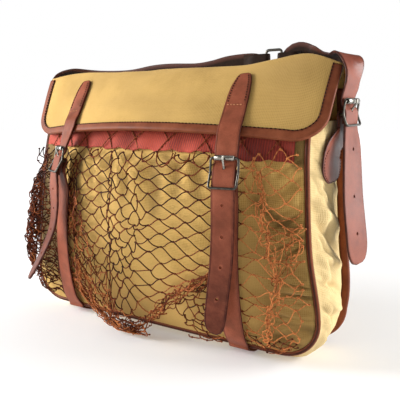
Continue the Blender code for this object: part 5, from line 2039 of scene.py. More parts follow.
@dataclass(frozen=True, eq=False)
class Closing:
    """One closing strap with its lower strap, buckle and stitched tongue."""

    side: Side
    x: float
    under_x: float
    flap_top: float
    flap_low: float
    turn: float
    twist: float
    tails: tuple[Tail, ...]
    half: float = 0.0122
    buckle_height: float = 0.197
    buckle: RollerBuckle = RollerBuckle(0.0142, 0.0140, 0.0150, 0.003, 0.0027)
    lower_cut: StrapCut = StrapCut(TAB_LEATHER, 0.0018, 0.0002, suede=0.0)
    tab_fold: float = 0.0175
    inner_fold: float = 0.012
    lower_stand: float = 0.0084
    stand: float = 0.0084 + TAB_MIDDLE + 0.0050
    lower_heights: tuple[float, ...] = (0.165, 0.130, 0.095, 0.060, 0.030)
    slant_reach: float = 0.185
    wrap_angles: tuple[float, ...] = (-5.0, 35.0, 65.0)
    wrap_slack: float = 0.0005
    wrap_most_z: float = 0.0078
    under_run: tuple[tuple[float, float], ...] = ((0.006, 0.0042), (0.016, TAB_LEATHER / 2.0 + 0.0003))
    under_end: float = 0.020
    lower_steps: int = 7
    upper_steps: int = 8
    tip: float = 0.022
    tongue: float = 0.045
    tongue_blunt: float = 0.42
    hole_radius: float = 0.0017
    # The strap is drawn darker towards the end of its tail.
    darker_end: float = 0.70
    twisted_across: tuple[float, float, float] = (0.755, -0.656, 0.0)
    flap_run: tuple[OnFlap, ...] = (
        OnFlap(0.018, 0.00, 0.0000), OnFlap(0.036, 0.25, 0.0002), OnFlap(0.054, 0.50, 0.0003),
        OnFlap(0.072, 0.75, 0.0006), OnFlap(0.083, 0.90, 0.0018), OnFlap(0.096, 1.00, 0.0018))
    sewn: tuple[float, float] = (0.002, 0.046)
    edge_stitch: Stitch = Stitch(0.0036, 0.0023, 0.0011)
    edge_inset: float = 0.0032
    row_stitch: Stitch = Stitch(0.0034, 0.0022, 0.0012)
    row_inset: float = 0.0028

    def place(self) -> Place:
        """Find where the buckle sits in front of the net.

        Returns:
            Its place.
        """
        out = BAG.front_out(self.x, self.buckle_height)
        turn = Matrix.Rotation(-math.radians(self.turn), 3, "Z")
        origin = BAG.front(self.x, self.buckle_height) + out * self.stand
        out = turn @ out
        across = turn @ BAG.front_across(self.x, self.buckle_height)
        across = (across - out * across.dot(out)).normalized()
        return Place(origin, across.cross(-out).normalized(), out, across)

    def lower_x(self, height: float) -> float:
        """Return how far to the right the lower strap lies at a height."""
        share = smooth_step((self.buckle_height - height) / self.slant_reach)
        return self.x + (self.under_x - self.x) * share

    def build(self) -> None:
        """Make and dress the strap set."""
        self.buckle.build("closing_buckle_" + self.side.value, self.place())
        self.lower_strap()
        self.upper_strap()

    def lower_strap(self) -> None:
        """Make the strap that runs under the bottom and holds the buckle."""
        place = self.place()
        fold = [place.at(-self.tab_fold, TAB_MIDDLE), place.at(-self.tab_fold / 2.0, TAB_MIDDLE)]
        fold += place.round_bar(TAB_MIDDLE)
        run = [fold.pop(), place.at(-self.inner_fold, -TAB_MIDDLE)]
        across = [place.across, place.across]
        for height in self.lower_heights:
            x = self.lower_x(height)
            run.append(BAG.on_front(x, height, self.lower_stand))
            across.append(BAG.front_across(x, height))
        seam = BAG.front(self.under_x, BAG.front_low)
        level = TAB_LEATHER / 2.0
        reach = BAG.piping_radius + GAP + level + self.wrap_slack
        for angle in self.wrap_angles:
            turn = math.radians(angle)
            run.append(seam + Vector((0.0, -math.cos(turn), -math.sin(turn))) * reach)
        run[-1].z = min(run[-1].z, self.wrap_most_z)
        run += [Vector((self.under_x, seam.y + behind, z)) for behind, z in self.under_run]
        run += [Vector((self.under_x, y, level)) for y in (0.0, self.under_end)]
        across += [RIGHTWARD] * (len(run) - len(across))
        rest = spline(run, self.lower_steps)
        for point in rest:
            point.z = max(point.z, level)
        ways = [place.across] * len(fold) + [way.normalized() for way in spline(across, self.lower_steps)]
        strip = Strip(fold + rest, ways, [self.half] * len(ways))
        piece = self.lower_cut.sweep("lower_strap_%s_leather" % self.side.value, strip, STRAP_FINISH)
        publish(piece, Slot.LEATHER, "lower_strap_" + self.side.value)

    def upper_strap(self) -> None:
        """Make the strap sewn to the flap, its punched tail and its stitches."""
        place = self.place()
        run = []
        across = []
        for down, share, lift in self.flap_run:
            a = self.flap_top + (self.flap_low - self.flap_top) * share
            lift += (CANVAS + STRAP_LEATHER) / 2.0 + GAP
            run.append(FLAP.point(a, down) + FLAP.out(a, down) * lift)
            across.append(FLAP.across(a, down))
        threaded = self.buckle.threaded_run(place)
        run += threaded
        across += [place.across] * len(threaded)
        for k, tail in enumerate(self.tails):
            run.append(BAG.on_front(tail.x, tail.height, tail.stand))
            way = BAG.front_across(tail.x, tail.height).lerp(place.across, 0.5)
            across.append(way.lerp(Vector(self.twisted_across), min(self.twist * k, 1.0)))
        centres = spline(run, self.upper_steps)
        ways = [way.normalized() for way in spline(across, self.upper_steps)]
        strip = Strip(centres, ways, [self.half] * len(centres)).pointed(self.tip)
        strip = strip.pointed(self.tongue, at_end=False, blunt=self.tongue_blunt)
        piece = StrapCut(STRAP_LEATHER).sweep("closing_strap_%s_leather" % self.side.value, strip,
                                              STRAP_FINISH, darker_end=self.darker_end)
        holes = [(BAG.on_front(tail.x, tail.height, tail.stand), BAG.front_out(tail.x, tail.height))
                 for tail in self.tails[:-1]]
        punch(piece, [self.buckle.prong_hole(place)] + holes, self.hole_radius)
        publish(piece, Slot.LEATHER, "closing_strap_" + self.side.value)
        self.tongue_stitches(strip)

    def tongue_stitches(self, strip: Strip) -> None:
        """Sew the tongue to the flap: round its edge, and one paler row across.

        Args:
            strip: the whole strap's line.
        """
        edge = Stitching("tongue_%s_stitches" % self.side.value, THREAD_FINISH, self.edge_stitch)
        row = Stitching("tongue_%s_cross_row" % self.side.value, PALE_THREAD_FINISH, self.row_stitch)
        lengths = path_lengths(strip.centres)
        outs = [way.cross(across).normalized() for way, across in zip(tangents(strip.centres), strip.across)]
        faces = [centre + out * (STRAP_LEATHER * 0.5) for centre, out in zip(strip.centres, outs)]
        first, last = self.sewn
        sewn = [i for i, length in enumerate(lengths) if first < length < last]
        for sign in (1.0, -1.0):
            path = [faces[i] + strip.across[i] * (sign * (strip.halves[i] - self.edge_inset)) for i in sewn]
            edge.row(path, [outs[i] for i in sewn])
        i = sewn[-1] + 1
        reach = strip.halves[i] - self.row_inset
        path = [faces[i] + strip.across[i] * (reach * (k / 6.0 - 1.0)) for k in range(13)]
        row.row(path, [outs[i]] * len(path))
        edge.publish()
        row.publish()


CLOSINGS = (
    Closing(Side.RIGHT, 0.1185, 0.1140, 0.1060, 0.1125, 0.0, 0.0, (
        Tail(0.169, 0.1185, 0.0215), Tail(0.141, 0.1180, 0.0210), Tail(0.1115, 0.1150, 0.0205),
        Tail(0.078, 0.1080, 0.0200), Tail(0.041, 0.0995, 0.0240))),
    Closing(Side.LEFT, -0.1115, -0.1300, -0.1215, -0.1220, 12.0, 0.22, (
        Tail(0.166, -0.1110, 0.0225), Tail(0.145, -0.1110, 0.0215), Tail(0.122, -0.1120, 0.0260),
        Tail(0.098, -0.1160, 0.0400), Tail(0.074, -0.1230, 0.0600))),
)


class Station(NamedTuple):
    """One place on a strap: its centre and the way its outer face looks."""

    x: float
    y: float
    z: float
    face_x: float
    face_y: float
    face_z: float

    @property
    def point(self) -> Vector:
        """Return the centre."""
        return Vector(self[:3])

    @property
    def face(self) -> Vector:
        """Return the way the outer face looks."""
        return Vector(self[3:])


class Tab(NamedTuple):
    """A side tab at a height: half its width and its share of lying on the gusset."""

    height: float
    half: float
    resting: float


class ShoulderLine(NamedTuple):
    """Where one side's section of the shoulder strap, its buckle and its tab lie."""

    side: Side
    buckle_y: float
    tab_y: float
    tab_share: float
    stations: tuple[Station, ...]
    tails: tuple[Station, ...]


@dataclass
class Shoulder:
    """The shoulder strap in two sections with its ring, side buckles and sewn tabs."""

    half: float = 0.019
    buckle: RollerBuckle = RollerBuckle(0.0215, 0.0130, 0.0105, 0.004, 0.0030)
    buckle_height: float = 0.254
    buckle_x: float = 0.2055
    tip: float = 0.024
    # Its loop round the ring is painted dark on both sides as shade.
    painted_shade_length: float = 0.040
    hole_radius: float = 0.0018
    steps: int = 8
    ring_x: float = 0.116
    ring_y: float = 0.0265
    ring_z: float = 0.3010
    ring_half_length: float = 0.009
    ring_corner: float = 0.003
    ring_steps: int = 6
    ring_play: float = 0.0035
    overlaps: tuple[float, float] = (0.026, 0.012)
    loop_steps: int = 11
    tab_cut: StrapCut = StrapCut(TAB_LEATHER, 0.0022, 0.0002, suede=0.0)
    tab_neck_half: float = 0.0165
    tab_overlap: float = 0.0088
    tab_steps: int = 6
    tab_stitch: Stitch = Stitch(0.0030, 0.0021, 0.0007)
    tab_inset: float = 0.0030
    tab_sewn_below: float = 0.222
    tab_sewn_half: float = 0.0105
    tab_rows: tuple[Tab, ...] = (
        Tab(0.236, 0.0180, 0.0), Tab(0.226, 0.0190, 0.5), Tab(0.216, 0.0240, 0.9), Tab(0.207, 0.0255, 1.0),
        Tab(0.198, 0.0240, 1.0), Tab(0.191, 0.0180, 1.0), Tab(0.187, 0.0090, 1.0))
    lines: tuple[ShoulderLine, ...] = (
        ShoulderLine(Side.RIGHT, 0.004, -0.0110, 1.0, (
            Station(0.143, 0.029, 0.311, 0.0, 1.0, 0.0), Station(0.156, 0.0292, 0.3078, 0.0, 0.98, 0.2),
            Station(0.169, 0.029, 0.3068, 0.0, 0.82, 0.57), Station(0.1805, 0.0285, 0.3088, 0.04, 0.45, 0.89),
            Station(0.191, 0.0265, 0.313, 0.15, 0.0, 0.99), Station(0.2, 0.0215, 0.3125, 0.5, -0.15, 0.85),
            Station(0.2062, 0.0145, 0.304, 0.82, -0.1, 0.55), Station(0.2095, 0.0085, 0.292, 0.98, 0.0, 0.2),
            Station(0.2103, 0.0055, 0.283, 1.0, 0.0, 0.0),
        ), (
            Station(0.213, 0.004, 0.22, 1.0, -0.12, 0.0), Station(0.2158, 0.0035, 0.173, 0.98, -0.2, 0.0),
            Station(0.22, 0.0045, 0.135, 0.97, -0.22, 0.0), Station(0.223, 0.0065, 0.104, 0.97, -0.22, 0.0),
        )),
        ShoulderLine(Side.LEFT, 0.0165, 0.0010, 0.82, (
            Station(0.086, 0.029, 0.303, 0.0, 1.0, 0.0), Station(0.06, 0.0295, 0.302, 0.0, 1.0, 0.05),
            Station(0.037, 0.03, 0.298, 0.0, 1.0, 0.1), Station(0.013, 0.03, 0.296, 0.0, 1.0, 0.1),
            Station(-0.023, 0.03, 0.2975, 0.0, 1.0, 0.1), Station(-0.05, 0.0302, 0.297, 0.0, 1.0, 0.1),
            Station(-0.09, 0.0305, 0.293, 0.0, 1.0, 0.1), Station(-0.134, 0.0308, 0.2942, 0.0, 0.98, 0.2),
            Station(-0.162, 0.031, 0.2985, 0.0, 0.9, 0.44), Station(-0.18, 0.031, 0.306, -0.05, 0.58, 0.81),
            Station(-0.1915, 0.0305, 0.311, -0.15, 0.2, 0.97),
            Station(-0.201, 0.029, 0.311, -0.45, 0.0, 0.89), Station(-0.208, 0.026, 0.3045, -0.8, 0.0, 0.6),
            Station(-0.211, 0.022, 0.2945, -0.98, 0.0, 0.2), Station(-0.2115, 0.0185, 0.284, -1.0, 0.0, 0.0),
        ), (
            Station(-0.2125, 0.012, 0.22, -1.0, 0.0, 0.0), Station(-0.213, 0.001, 0.173, -1.0, 0.05, 0.0),
            Station(-0.214, -0.009, 0.12, -0.99, 0.1, 0.0), Station(-0.215, -0.014, 0.08, -0.99, 0.1, 0.0),
        )),
    )

    def place(self, line: ShoulderLine) -> Place:
        """Return where a side buckle sits."""
        origin = Vector((self.buckle_x * line.side.sign, line.buckle_y, self.buckle_height))
        return Place(origin, UP, RIGHTWARD * line.side.sign, BACKWARD)

    def build(self) -> None:
        """Make and dress the shoulder strap."""
        self.ring()
        for line in self.lines:
            self.buckle.build("side_buckle_" + line.side.value, self.place(line))
            self.tab(line)
            self.strap(line)

    def ring(self) -> None:
        """Make the oblong wire ring between the two sections."""
        middle = Vector((self.ring_x, self.ring_y, self.ring_z))
        wide = self.ring_half_length - self.ring_corner
        high = self.half + self.ring_play - self.ring_corner
        path = []
        for z_sign, x_sign in ((1.0, 1.0), (-1.0, 1.0), (-1.0, -1.0), (1.0, -1.0)):
            first = math.pi / 2.0 if z_sign * x_sign > 0.0 else 0.0
            for k in range(self.ring_steps + 1):
                angle = abs(first - 0.5 * math.pi * k / self.ring_steps)
                path.append(middle + Vector(((wide + math.cos(angle) * self.ring_corner) * x_sign, 0.0,
                                             (high + math.sin(angle) * self.ring_corner) * z_sign)))
        draft = Draft()
        draft.tube(path, WIRE_RADIUS, 14, closed=True, hint=BACKWARD)
        draft.body("strap_ring_wire", METAL_FINISH, Slot.METAL, "strap_ring")

    def side_out(self, side: Side, y: float, z: float) -> float:
        """Find how far from the bag's middle a side's canvas stands.

        Args:
            side: which side.
            y: depth.
            z: height.

        Returns:
            The distance.
        """
        x_front = BAG.front_half(z)
        x_back = BAG.back_half(z) - BAG.seam_margin
        y_front = BAG.front(x_front * side.sign, z).y
        share = min(max((y - y_front) / (BAG.back(x_back, z).y - y_front), 0.0), 1.0)
        arch = smooth_step(min(share, 1.0 - share) / Panels.gusset_rounding)
        return x_front + (x_back - x_front) * share + Panels.gusset_bulge * arch

    def tab(self, line: ShoulderLine) -> None:
        """Make the leather tab sewn on the gusset and folded round the buckle's bar.

        Args:
            line: the side's line.
        """
        place = self.place(line)
        sign = line.side.sign
        centres = [place.at(-self.tab_overlap, TAB_MIDDLE)] + place.round_bar(TAB_MIDDLE)
        halves = [self.tab_neck_half] * len(centres)
        lower = []
        widths = [Vector((self.tab_neck_half, 0.0, 0.0))]
        inner = self.buckle_x - TAB_MIDDLE
        for height, row_half, resting in self.tab_rows:
            middle = line.buckle_y + (line.tab_y - line.buckle_y) * resting
            half = row_half * (1.0 + (line.tab_share - 1.0) * resting)
            crown = max(self.side_out(line.side, middle + half * k / 2.0, height) for k in range(-2, 3))
            lying = crown + (CANVAS + TAB_LEATHER) / 2.0 + GAP * 2.0
            lower.append(Vector(((inner + (lying - inner) * resting) * sign, middle, height)))
            widths.append(Vector((half, 0.0, 0.0)))
        centres += spline([centres[-1]] + lower, self.tab_steps)[1:]
        halves += [width.x for width in spline(widths, self.tab_steps)[1:]]
        strip = Strip(centres, [BACKWARD * sign] * len(centres), halves)
        piece = self.tab_cut.sweep("side_tab_%s_leather" % line.side.value, strip, SHOULDER_FINISH)
        publish(piece, Slot.LEATHER, "side_tab_" + line.side.value)
        self.tab_stitches(line.side, strip)

    def tab_stitches(self, side: Side, strip: Strip) -> None:
        """Sew the tab's round end to the gusset.

        Args:
            side: which side.
            strip: the tab's line.
        """
        out = RIGHTWARD * side.sign
        sewn = [(centre + out * (TAB_LEATHER * 0.5), half - self.tab_inset)
                for centre, half in zip(strip.centres, strip.halves)
                if centre.z < self.tab_sewn_below and half > self.tab_sewn_half]
        path = [centre + BACKWARD * reach for centre, reach in sewn]
        path += [centre - BACKWARD * reach for centre, reach in reversed(sewn)]
        sewing = Stitching("side_tab_%s_stitches" % side.value, THREAD_FINISH, self.tab_stitch)
        sewing.row(path, [out] * len(path))
        sewing.publish()

    def strip(self, line: ShoulderLine) -> Strip:
        """Lay one section from its ring to its tail's tip.

        Args:
            line: the side's line.

        Returns:
            The section's strip.
        """
        sign = line.side.sign
        place = self.place(line)
        bar = Vector((self.ring_x + self.ring_half_length * sign, self.ring_y, self.ring_z))
        reach = WIRE_RADIUS + GAP + STRAP_LEATHER / 2.0
        loop = [bar + Vector((away * sign, -reach, 0.0)) for away in self.overlaps]
        looks = [-BACKWARD] * len(loop)
        for k in range(self.loop_steps + 1):
            angle = math.radians(90.0 + 180.0 * k / self.loop_steps)
            turn = Vector((math.cos(angle) * sign, -math.sin(angle), 0.0))
            loop.append(bar + turn * reach)
            looks.append(turn)
        threaded = self.buckle.threaded_run(place)
        run = [bar + Vector((self.overlaps[1] * sign, reach, 0.0))]
        run += [row.point for row in line.stations] + threaded + [row.point for row in line.tails]
        faces = [BACKWARD] + [row.face for row in line.stations]
        faces += [place.out] * len(threaded) + [row.face for row in line.tails]
        centres = loop + spline(run, self.steps)
        looks += spline(faces, self.steps)
        across = [face.cross(way).normalized() for way, face in zip(tangents(centres), looks)]
        return Strip(centres, across, [self.half] * len(centres)).pointed(self.tip)

    def strap(self, line: ShoulderLine) -> None:
        """Make one section of the strap with its punched tail.

        Args:
            line: the side's line.
        """
        piece = StrapCut(STRAP_LEATHER).sweep("shoulder_strap_%s_leather" % line.side.value, self.strip(line),
                                              SHOULDER_FINISH, self.painted_shade_length)
        holes = [(row.point, Vector((row.face_x, row.face_y, 0.0)).normalized()) for row in line.tails[:-1]]
        punch(piece, [self.buckle.prong_hole(self.place(line))] + holes, self.hole_radius)
        publish(piece, Slot.LEATHER, "shoulder_strap_" + line.side.value)


@dataclass
class Ribbon:
    """Ribbed ribbon that carries the net, with the net's lacing crossed over it."""

    half: float = 0.178
    top: float = 0.243
    low: float = 0.2165
    low_right: float = 0.2105
    right: Band = Band(0.095, 0.125)
    thickness: float = 0.0012
    drawn_thickness: float = 0.00072
    stand: float = 0.0010
    columns: int = 600
    rows: int = 10
    rib_height: float = 0.00022
    pucker: float = 0.0008
    pucker_turn: float = 170.0
    ripple: float = 0.0005
    ripple_turn: float = 410.0
    loose: float = 0.0010
    shade: float = 0.62
    shaded: Band = Band(0.118, 0.138)
    crossings: tuple[float, ...] = (-0.152, -0.125, -0.092, -0.049, -0.008, 0.039, 0.086, 0.126, 0.162)
    lace: tuple[Knot, ...] = ((0.020, 0.2445, 0.0026), (0.010, 0.2360, 0.0040), (0.0, 0.2270, 0.0044),
                              (-0.010, 0.2150, 0.0046))
    lace_over: float = 0.0006
    lace_radius: float = 0.0006
    lace_tone: float = 0.34
    lace_knot: Knot = (0.0030, 0.0024, 0.0046)

    def low_at(self, x: float) -> float:
        """Find the ribbon's lower edge, which puckers between its lacings.

        Args:
            x: place across.

        Returns:
            Its height.
        """
        base = self.low + (self.low_right - self.low) * self.right.share(x)
        return (base + self.pucker * math.sin(x * self.pucker_turn)
                + self.ripple * math.sin(x * self.ripple_turn + 1.0))

    def build(self) -> None:
        """Make the ribbon."""
        stand = (CANVAS + self.thickness) / 2.0 + self.stand
        rows = []
        for i in range(self.rows + 1):
            row = []
            for j in range(self.columns + 1):
                x = self.half * (2.0 * j / self.columns - 1.0)
                z = self.low_at(x) + (self.top - self.low_at(x)) * i / self.rows
                rib = self.rib_height * math.sin(2.0 * math.pi * x / RIBBON_FINISH.rib_pitch)
                loose = (self.loose * (1.0 - i / self.rows)
                         * (1.0 + math.sin(x * self.pucker_turn + 0.8)))
                row.append(Mark(BAG.on_front(x, z, stand + rib + loose), (x, z),
                                self.shade * self.shaded.share(x)))
            rows.append(row)
        draft = Draft()
        draft.grid(rows)
        draft.sheet("net_ribbon", RIBBON_FINISH, Slot.RIBBON, self.drawn_thickness, "net_band")

    def lacing(self, draft: Draft, sides: int) -> None:
        """Cross the net's top strands over the ribbon.

        Args:
            draft: the net's draft.
            sides: points round a strand.
        """
        long, wide, stand = self.lace_knot
        for x in self.crossings:
            for sign in (1.0, -1.0):
                line = [BAG.on_front(x + sign * away, z, lift + self.lace_over * sign * (away == 0.0))
                        for away, z, lift in self.lace]
                draft.tube(spline(line, 6), self.lace_radius, sides, tone=self.lace_tone)
            draft.ball(BAG.on_front(x, self.lace[2][1], stand), RIGHTWARD, long, wide, tone=self.lace_tone)


class Slack(NamedTuple):
    """How far the net stands off the front, by height and place across."""

    height: float
    all_over: float
    left: float
    middle: float
    right: float
    floor: float


class Guide(NamedTuple):
    """One strand line of the net: its number and its places across at the guide heights."""

    column: int
    places: tuple[float, ...]


class Turn(NamedTuple):
    """How low the even mesh reaches at a place across, and how far its gathers spread there."""

    place: float
    height: float
    spread: float


class Gather(NamedTuple):
    """Strands of the net that run together: their line, its spread, their number and tone."""

    line: tuple[tuple[float, float], ...]
    spread: float
    strands: int
    tone: float
    layers: int = 1


class Hanging(NamedTuple):
    """A slack loop of the net: its middle, width, height and how deep it hangs."""

    x: float
    width: float
    height: float
    depth: float


@dataclass(frozen=True)
class Mesh:
    """A piece of knotted mesh: its size, how its knots are placed and how its cord is dyed.

    place gives place across, height and lift for a row and a column, dye gives the cord's tone
    for a place across and a height, fine is its cord's thickness as a share of the usual one.
    """

    rows: int
    columns: int
    place: Callable[[int, int], Knot]
    dye: Callable[[float, float], float]
    fine: float = 1.0


@dataclass
class Net:
    """Knotted cord net over the front: an even mesh that bunches, folds and pools.

    Lengths are metres. A wander follows soft noise, with so many lumps in a metre, and a shake is
    drawn at random. A play is the range that a share is drawn from, and the heap is the mesh that
    has run together below a turn.
    """

    rows: int = 27
    top: float = 0.2150
    low: float = 0.0150
    radius: float = 0.00069
    sides: int = 5
    steps: int = 6
    seed: int = 7
    rest_length: float = 0.0185
    longest_bar: float = 0.040
    most_bulge: float = 0.0044
    upright: float = 0.0045
    upright_bulge: float = 0.0026
    bar_tone: float = 0.22
    knot_length: float = 0.0033
    knot_width: float = 0.0026
    edge_margin: float = 0.003
    edge_least: float = 0.0145
    strap_free: Band = Band(0.006, 0.026)
    left_swell: Bell = Bell(-0.86, 0.12)
    middle_swell: Bell = Bell(-0.04, 0.27)
    right_swell: Bell = Bell(0.84, 0.10)
    pool: Bell = Bell(-0.22, 0.24)
    pool_out: float = 0.010
    pool_height: float = 0.0040
    pool_share: float = 0.55
    dyed_right: Band = Band(0.120, 0.140)
    dyed_turn: float = 0.022
    dyed_left: tuple[Bell, Bell] = (Bell(-0.098, 0.022), Bell(0.070, 0.045))
    left_bay: Band = Band(-0.120, -0.132)
    right_bay: Band = Band(0.125, 0.137)
    even_part: Band = Band(0.012, 0.042)
    even_share: float = 0.70
    wander_across: float = 0.0062
    wander_up: float = 0.0075
    shake_across: float = 0.0018
    shake_up: float = 0.0016
    bay_shake: float = 0.0035
    sag: float = 0.0035
    sag_middle: float = 0.045
    sag_near: Band = Band(0.03, 0.0)
    squeeze_reach: float = 0.060
    squeeze_power: float = 1.35
    squeeze_to: float = 0.11
    gathered_cell: float = 0.0068
    gathered_fineness: float = 0.80
    bay_edge: float = 0.125
    bay_fineness: float = 0.76
    droop_size: tuple[int, int] = (7, 11)
    droop_centre: tuple[float, float] = (0.101, 0.046)
    loose_count: int = 30
    loose_top: float = 0.170
    loose_pitch: float = 0.0040
    edge_power: int = 12
    pressed_lift: float = 0.15
    low_margin: float = 0.001
    floor_gap: float = 0.0002
    tone_base: float = 0.05
    tone_right: float = 0.78
    tone_left: float = 0.40
    tone_at_turn: float = 0.40
    turn_tone_from: float = -0.14
    tone_patch: float = 0.20
    tone_patch_lumps: float = 28.0
    across_lumps: float = 26.0
    up_lumps: float = 22.0
    bay_lumps: float = 45.0
    left_shake: float = 1.5
    right_shake: float = 2.0
    sag_rows: int = 3
    even_lift: tuple[float, float] = (-0.0004, 0.0010)
    bay_lift: float = 0.004
    bay_ruffle: float = 0.008
    bay_past: float = 0.010
    heap_depth: float = 0.03
    heap_most: float = 2.0
    heap_spread: float = 0.9
    heap_wave: float = 0.002
    heap_wave_pace: float = 2.1
    heap_lift: float = 0.0035
    heap_layer: float = 0.0030
    half_least: float = 0.0150
    knot_least: float = 0.0045
    hooks: tuple[float, float] = (0.75, 0.25)
    hook_play: tuple[float, float] = (-0.15, 0.20)
    hook_bend: float = 1.7
    bulge_play: tuple[float, float] = (0.25, 1.0)
    down_play: tuple[float, float] = (0.3, 1.0)
    bulge_across: float = 0.75
    bulge_down: float = 0.55
    bulge_out: float = 0.35
    cord_play: tuple[float, float] = (0.85, 1.10)
    gather_row_shake: float = 0.4
    gather_ends: float = 0.55
    gather_wander: float = 0.45
    gather_wander_lumps: float = 6.0
    gather_shake: float = 0.0012
    gather_lift: float = 0.28
    gather_heap: float = 0.30
    gather_heap_lumps: tuple[float, float] = (9.0, 2.0)
    gather_patch: float = 0.70
    gather_patch_lumps: float = 90.0
    gather_tone_shake: float = 0.25
    strand_least: float = 0.004
    droop_angles: tuple[float, float] = (100.0, 165.0)
    droop_angle_shake: float = 5.0
    droop_rings: tuple[float, float] = (0.010, 0.0056)
    droop_ring_shake: float = 0.0008
    droop_shares: tuple[float, float] = (1.20, 0.85)
    droop_lift: float = 0.0015
    droop_tone: float = 0.15
    droop_tone_play: tuple[float, float] = (-0.1, 0.3)
    hang_line: tuple[Knot, ...] = ((-0.5, 0.0, 0.001), (-0.42, 0.6, 0.002), (0.0, 1.0, 0.003),
                                   (0.42, 0.6, 0.002), (0.5, 0.0, 0.001))
    hang_shake: float = 0.0010
    hang_knots: int = 9
    hang_tone: float = 0.3
    loose_shake: float = 0.002
    loose_reach: tuple[float, float] = (0.003, 0.014)
    loose_reach_play: tuple[float, float] = (0.35, 1.0)
    loose_drop: tuple[float, float] = (0.006, 0.012)
    loose_turns: tuple[float, float] = (-100.0, 25.0)
    loose_x: float = -0.183
    loose_round: float = 0.006
    loose_lift: float = 0.006
    loose_sway: float = 0.004
    loose_tone: tuple[float, float] = (0.05, 0.45)
    loose_knots: tuple[int, ...] = (4, 13, 20)
    slack: tuple[Slack, ...] = (
        Slack(0.012, 0.0050, 0.004, 0.010, 0.002, 1.0),
        Slack(0.040, 0.0052, 0.012, 0.012, 0.004, 0.5),
        Slack(0.090, 0.0052, 0.024, 0.008, 0.006, 0.0),
        Slack(0.150, 0.0052, 0.018, 0.006, 0.006, 0.0),
        Slack(0.200, 0.0052, 0.004, 0.003, 0.004, 0.0),
        Slack(0.233, 0.0050, 0.000, 0.000, 0.000, 0.0),
    )
    guide_heights: tuple[float, ...] = (0.020, 0.050, 0.090, 0.120, 0.150, 0.180, 0.215)
    guides: tuple[Guide, ...] = (
        Guide(0, (-0.182, -0.191, -0.190, -0.190, -0.188, -0.186, -0.184)),
        Guide(8, (-0.138, -0.136, -0.132, -0.130, -0.128, -0.127, -0.127)),
        Guide(11, (-0.112, -0.107, -0.102, -0.100, -0.098, -0.098, -0.097)),
        Guide(16, (-0.055, -0.045, -0.0365, -0.0285, -0.0275, -0.0290, -0.0365)),
        Guide(18, (-0.045, -0.040, -0.0335, -0.0255, -0.0245, -0.0255, -0.0320)),
        Guide(22, (-0.015, -0.010, -0.0040, 0.0095, 0.0105, 0.0080, 0.0020)),
        Guide(23, (-0.002, 0.000, 0.0050, 0.0125, 0.0130, 0.0115, 0.0130)),
        Guide(29, (0.094, 0.098, 0.101, 0.103, 0.104, 0.105, 0.104)),
        Guide(31, (0.127, 0.127, 0.128, 0.130, 0.131, 0.132, 0.132)),
        Guide(33, (0.147, 0.152, 0.158, 0.155, 0.153, 0.147, 0.146)),
        Guide(35, (0.154, 0.158, 0.163, 0.161, 0.158, 0.154, 0.158)),
        Guide(38, (0.178, 0.192, 0.192, 0.190, 0.188, 0.187, 0.184)),
    )
    turns: tuple[Turn, ...] = (
        Turn(-0.195, 0.034, 0.006), Turn(-0.145, 0.034, 0.008), Turn(-0.116, 0.048, 0.010),
        Turn(-0.100, 0.042, 0.012), Turn(-0.085, 0.027, 0.011), Turn(-0.055, 0.017, 0.010),
        Turn(-0.020, 0.016, 0.009), Turn(-0.006, 0.022, 0.007), Turn(0.006, 0.030, 0.006),
        Turn(0.018, 0.041, 0.0055), Turn(0.036, 0.054, 0.005), Turn(0.055, 0.067, 0.005),
        Turn(0.072, 0.078, 0.005), Turn(0.090, 0.088, 0.005), Turn(0.110, 0.096, 0.004),
        Turn(0.124, 0.040, 0.005), Turn(0.150, 0.024, 0.004), Turn(0.195, 0.030, 0.004))
    gathers: tuple[Gather, ...] = (
        Gather(((-0.092, 0.170), (-0.088, 0.130), (-0.078, 0.098), (-0.066, 0.074), (-0.050, 0.058),
                (-0.030, 0.044), (-0.008, 0.036)), 0.0250, 10, 0.40),
        Gather(((-0.104, 0.085), (-0.090, 0.056), (-0.072, 0.038), (-0.048, 0.024), (-0.020, 0.016),
                (0.004, 0.026)), 0.0200, 10, 0.52),
        Gather(((-0.108, 0.062), (-0.090, 0.038), (-0.064, 0.022), (-0.036, 0.013), (-0.006, 0.016)),
               0.0080, 5, 0.30),
        Gather(((-0.016, 0.021), (0.004, 0.030), (0.022, 0.044), (0.042, 0.059), (0.064, 0.073),
                (0.106, 0.092)), 0.0070, 6, 0.25),
        Gather(((-0.097, 0.204), (-0.096, 0.175), (-0.096, 0.145), (-0.097, 0.110)), 0.0080, 5, 0.12),
        Gather(((0.146, 0.200), (0.152, 0.170), (0.156, 0.146), (0.162, 0.112), (0.166, 0.096),
                (0.164, 0.078), (0.156, 0.054), (0.150, 0.028)), 0.0055, 5, 0.95),
        Gather(((0.186, 0.152), (0.172, 0.138), (0.158, 0.118)), 0.0080, 4, 0.95),
        Gather(((0.186, 0.136), (0.174, 0.118), (0.162, 0.098)), 0.0060, 4, 0.85),
        Gather(((0.120, 0.030), (0.140, 0.024), (0.160, 0.022), (0.180, 0.032)), 0.0080, 5, 0.15),
        Gather(((-0.140, 0.200), (-0.150, 0.170), (-0.158, 0.140), (-0.160, 0.105), (-0.156, 0.075),
                (-0.146, 0.046)), 0.0200, 10, 0.06, 2),
        Gather(((-0.180, 0.176), (-0.184, 0.146), (-0.187, 0.118), (-0.184, 0.090), (-0.172, 0.060)),
               0.0110, 5, 0.25))
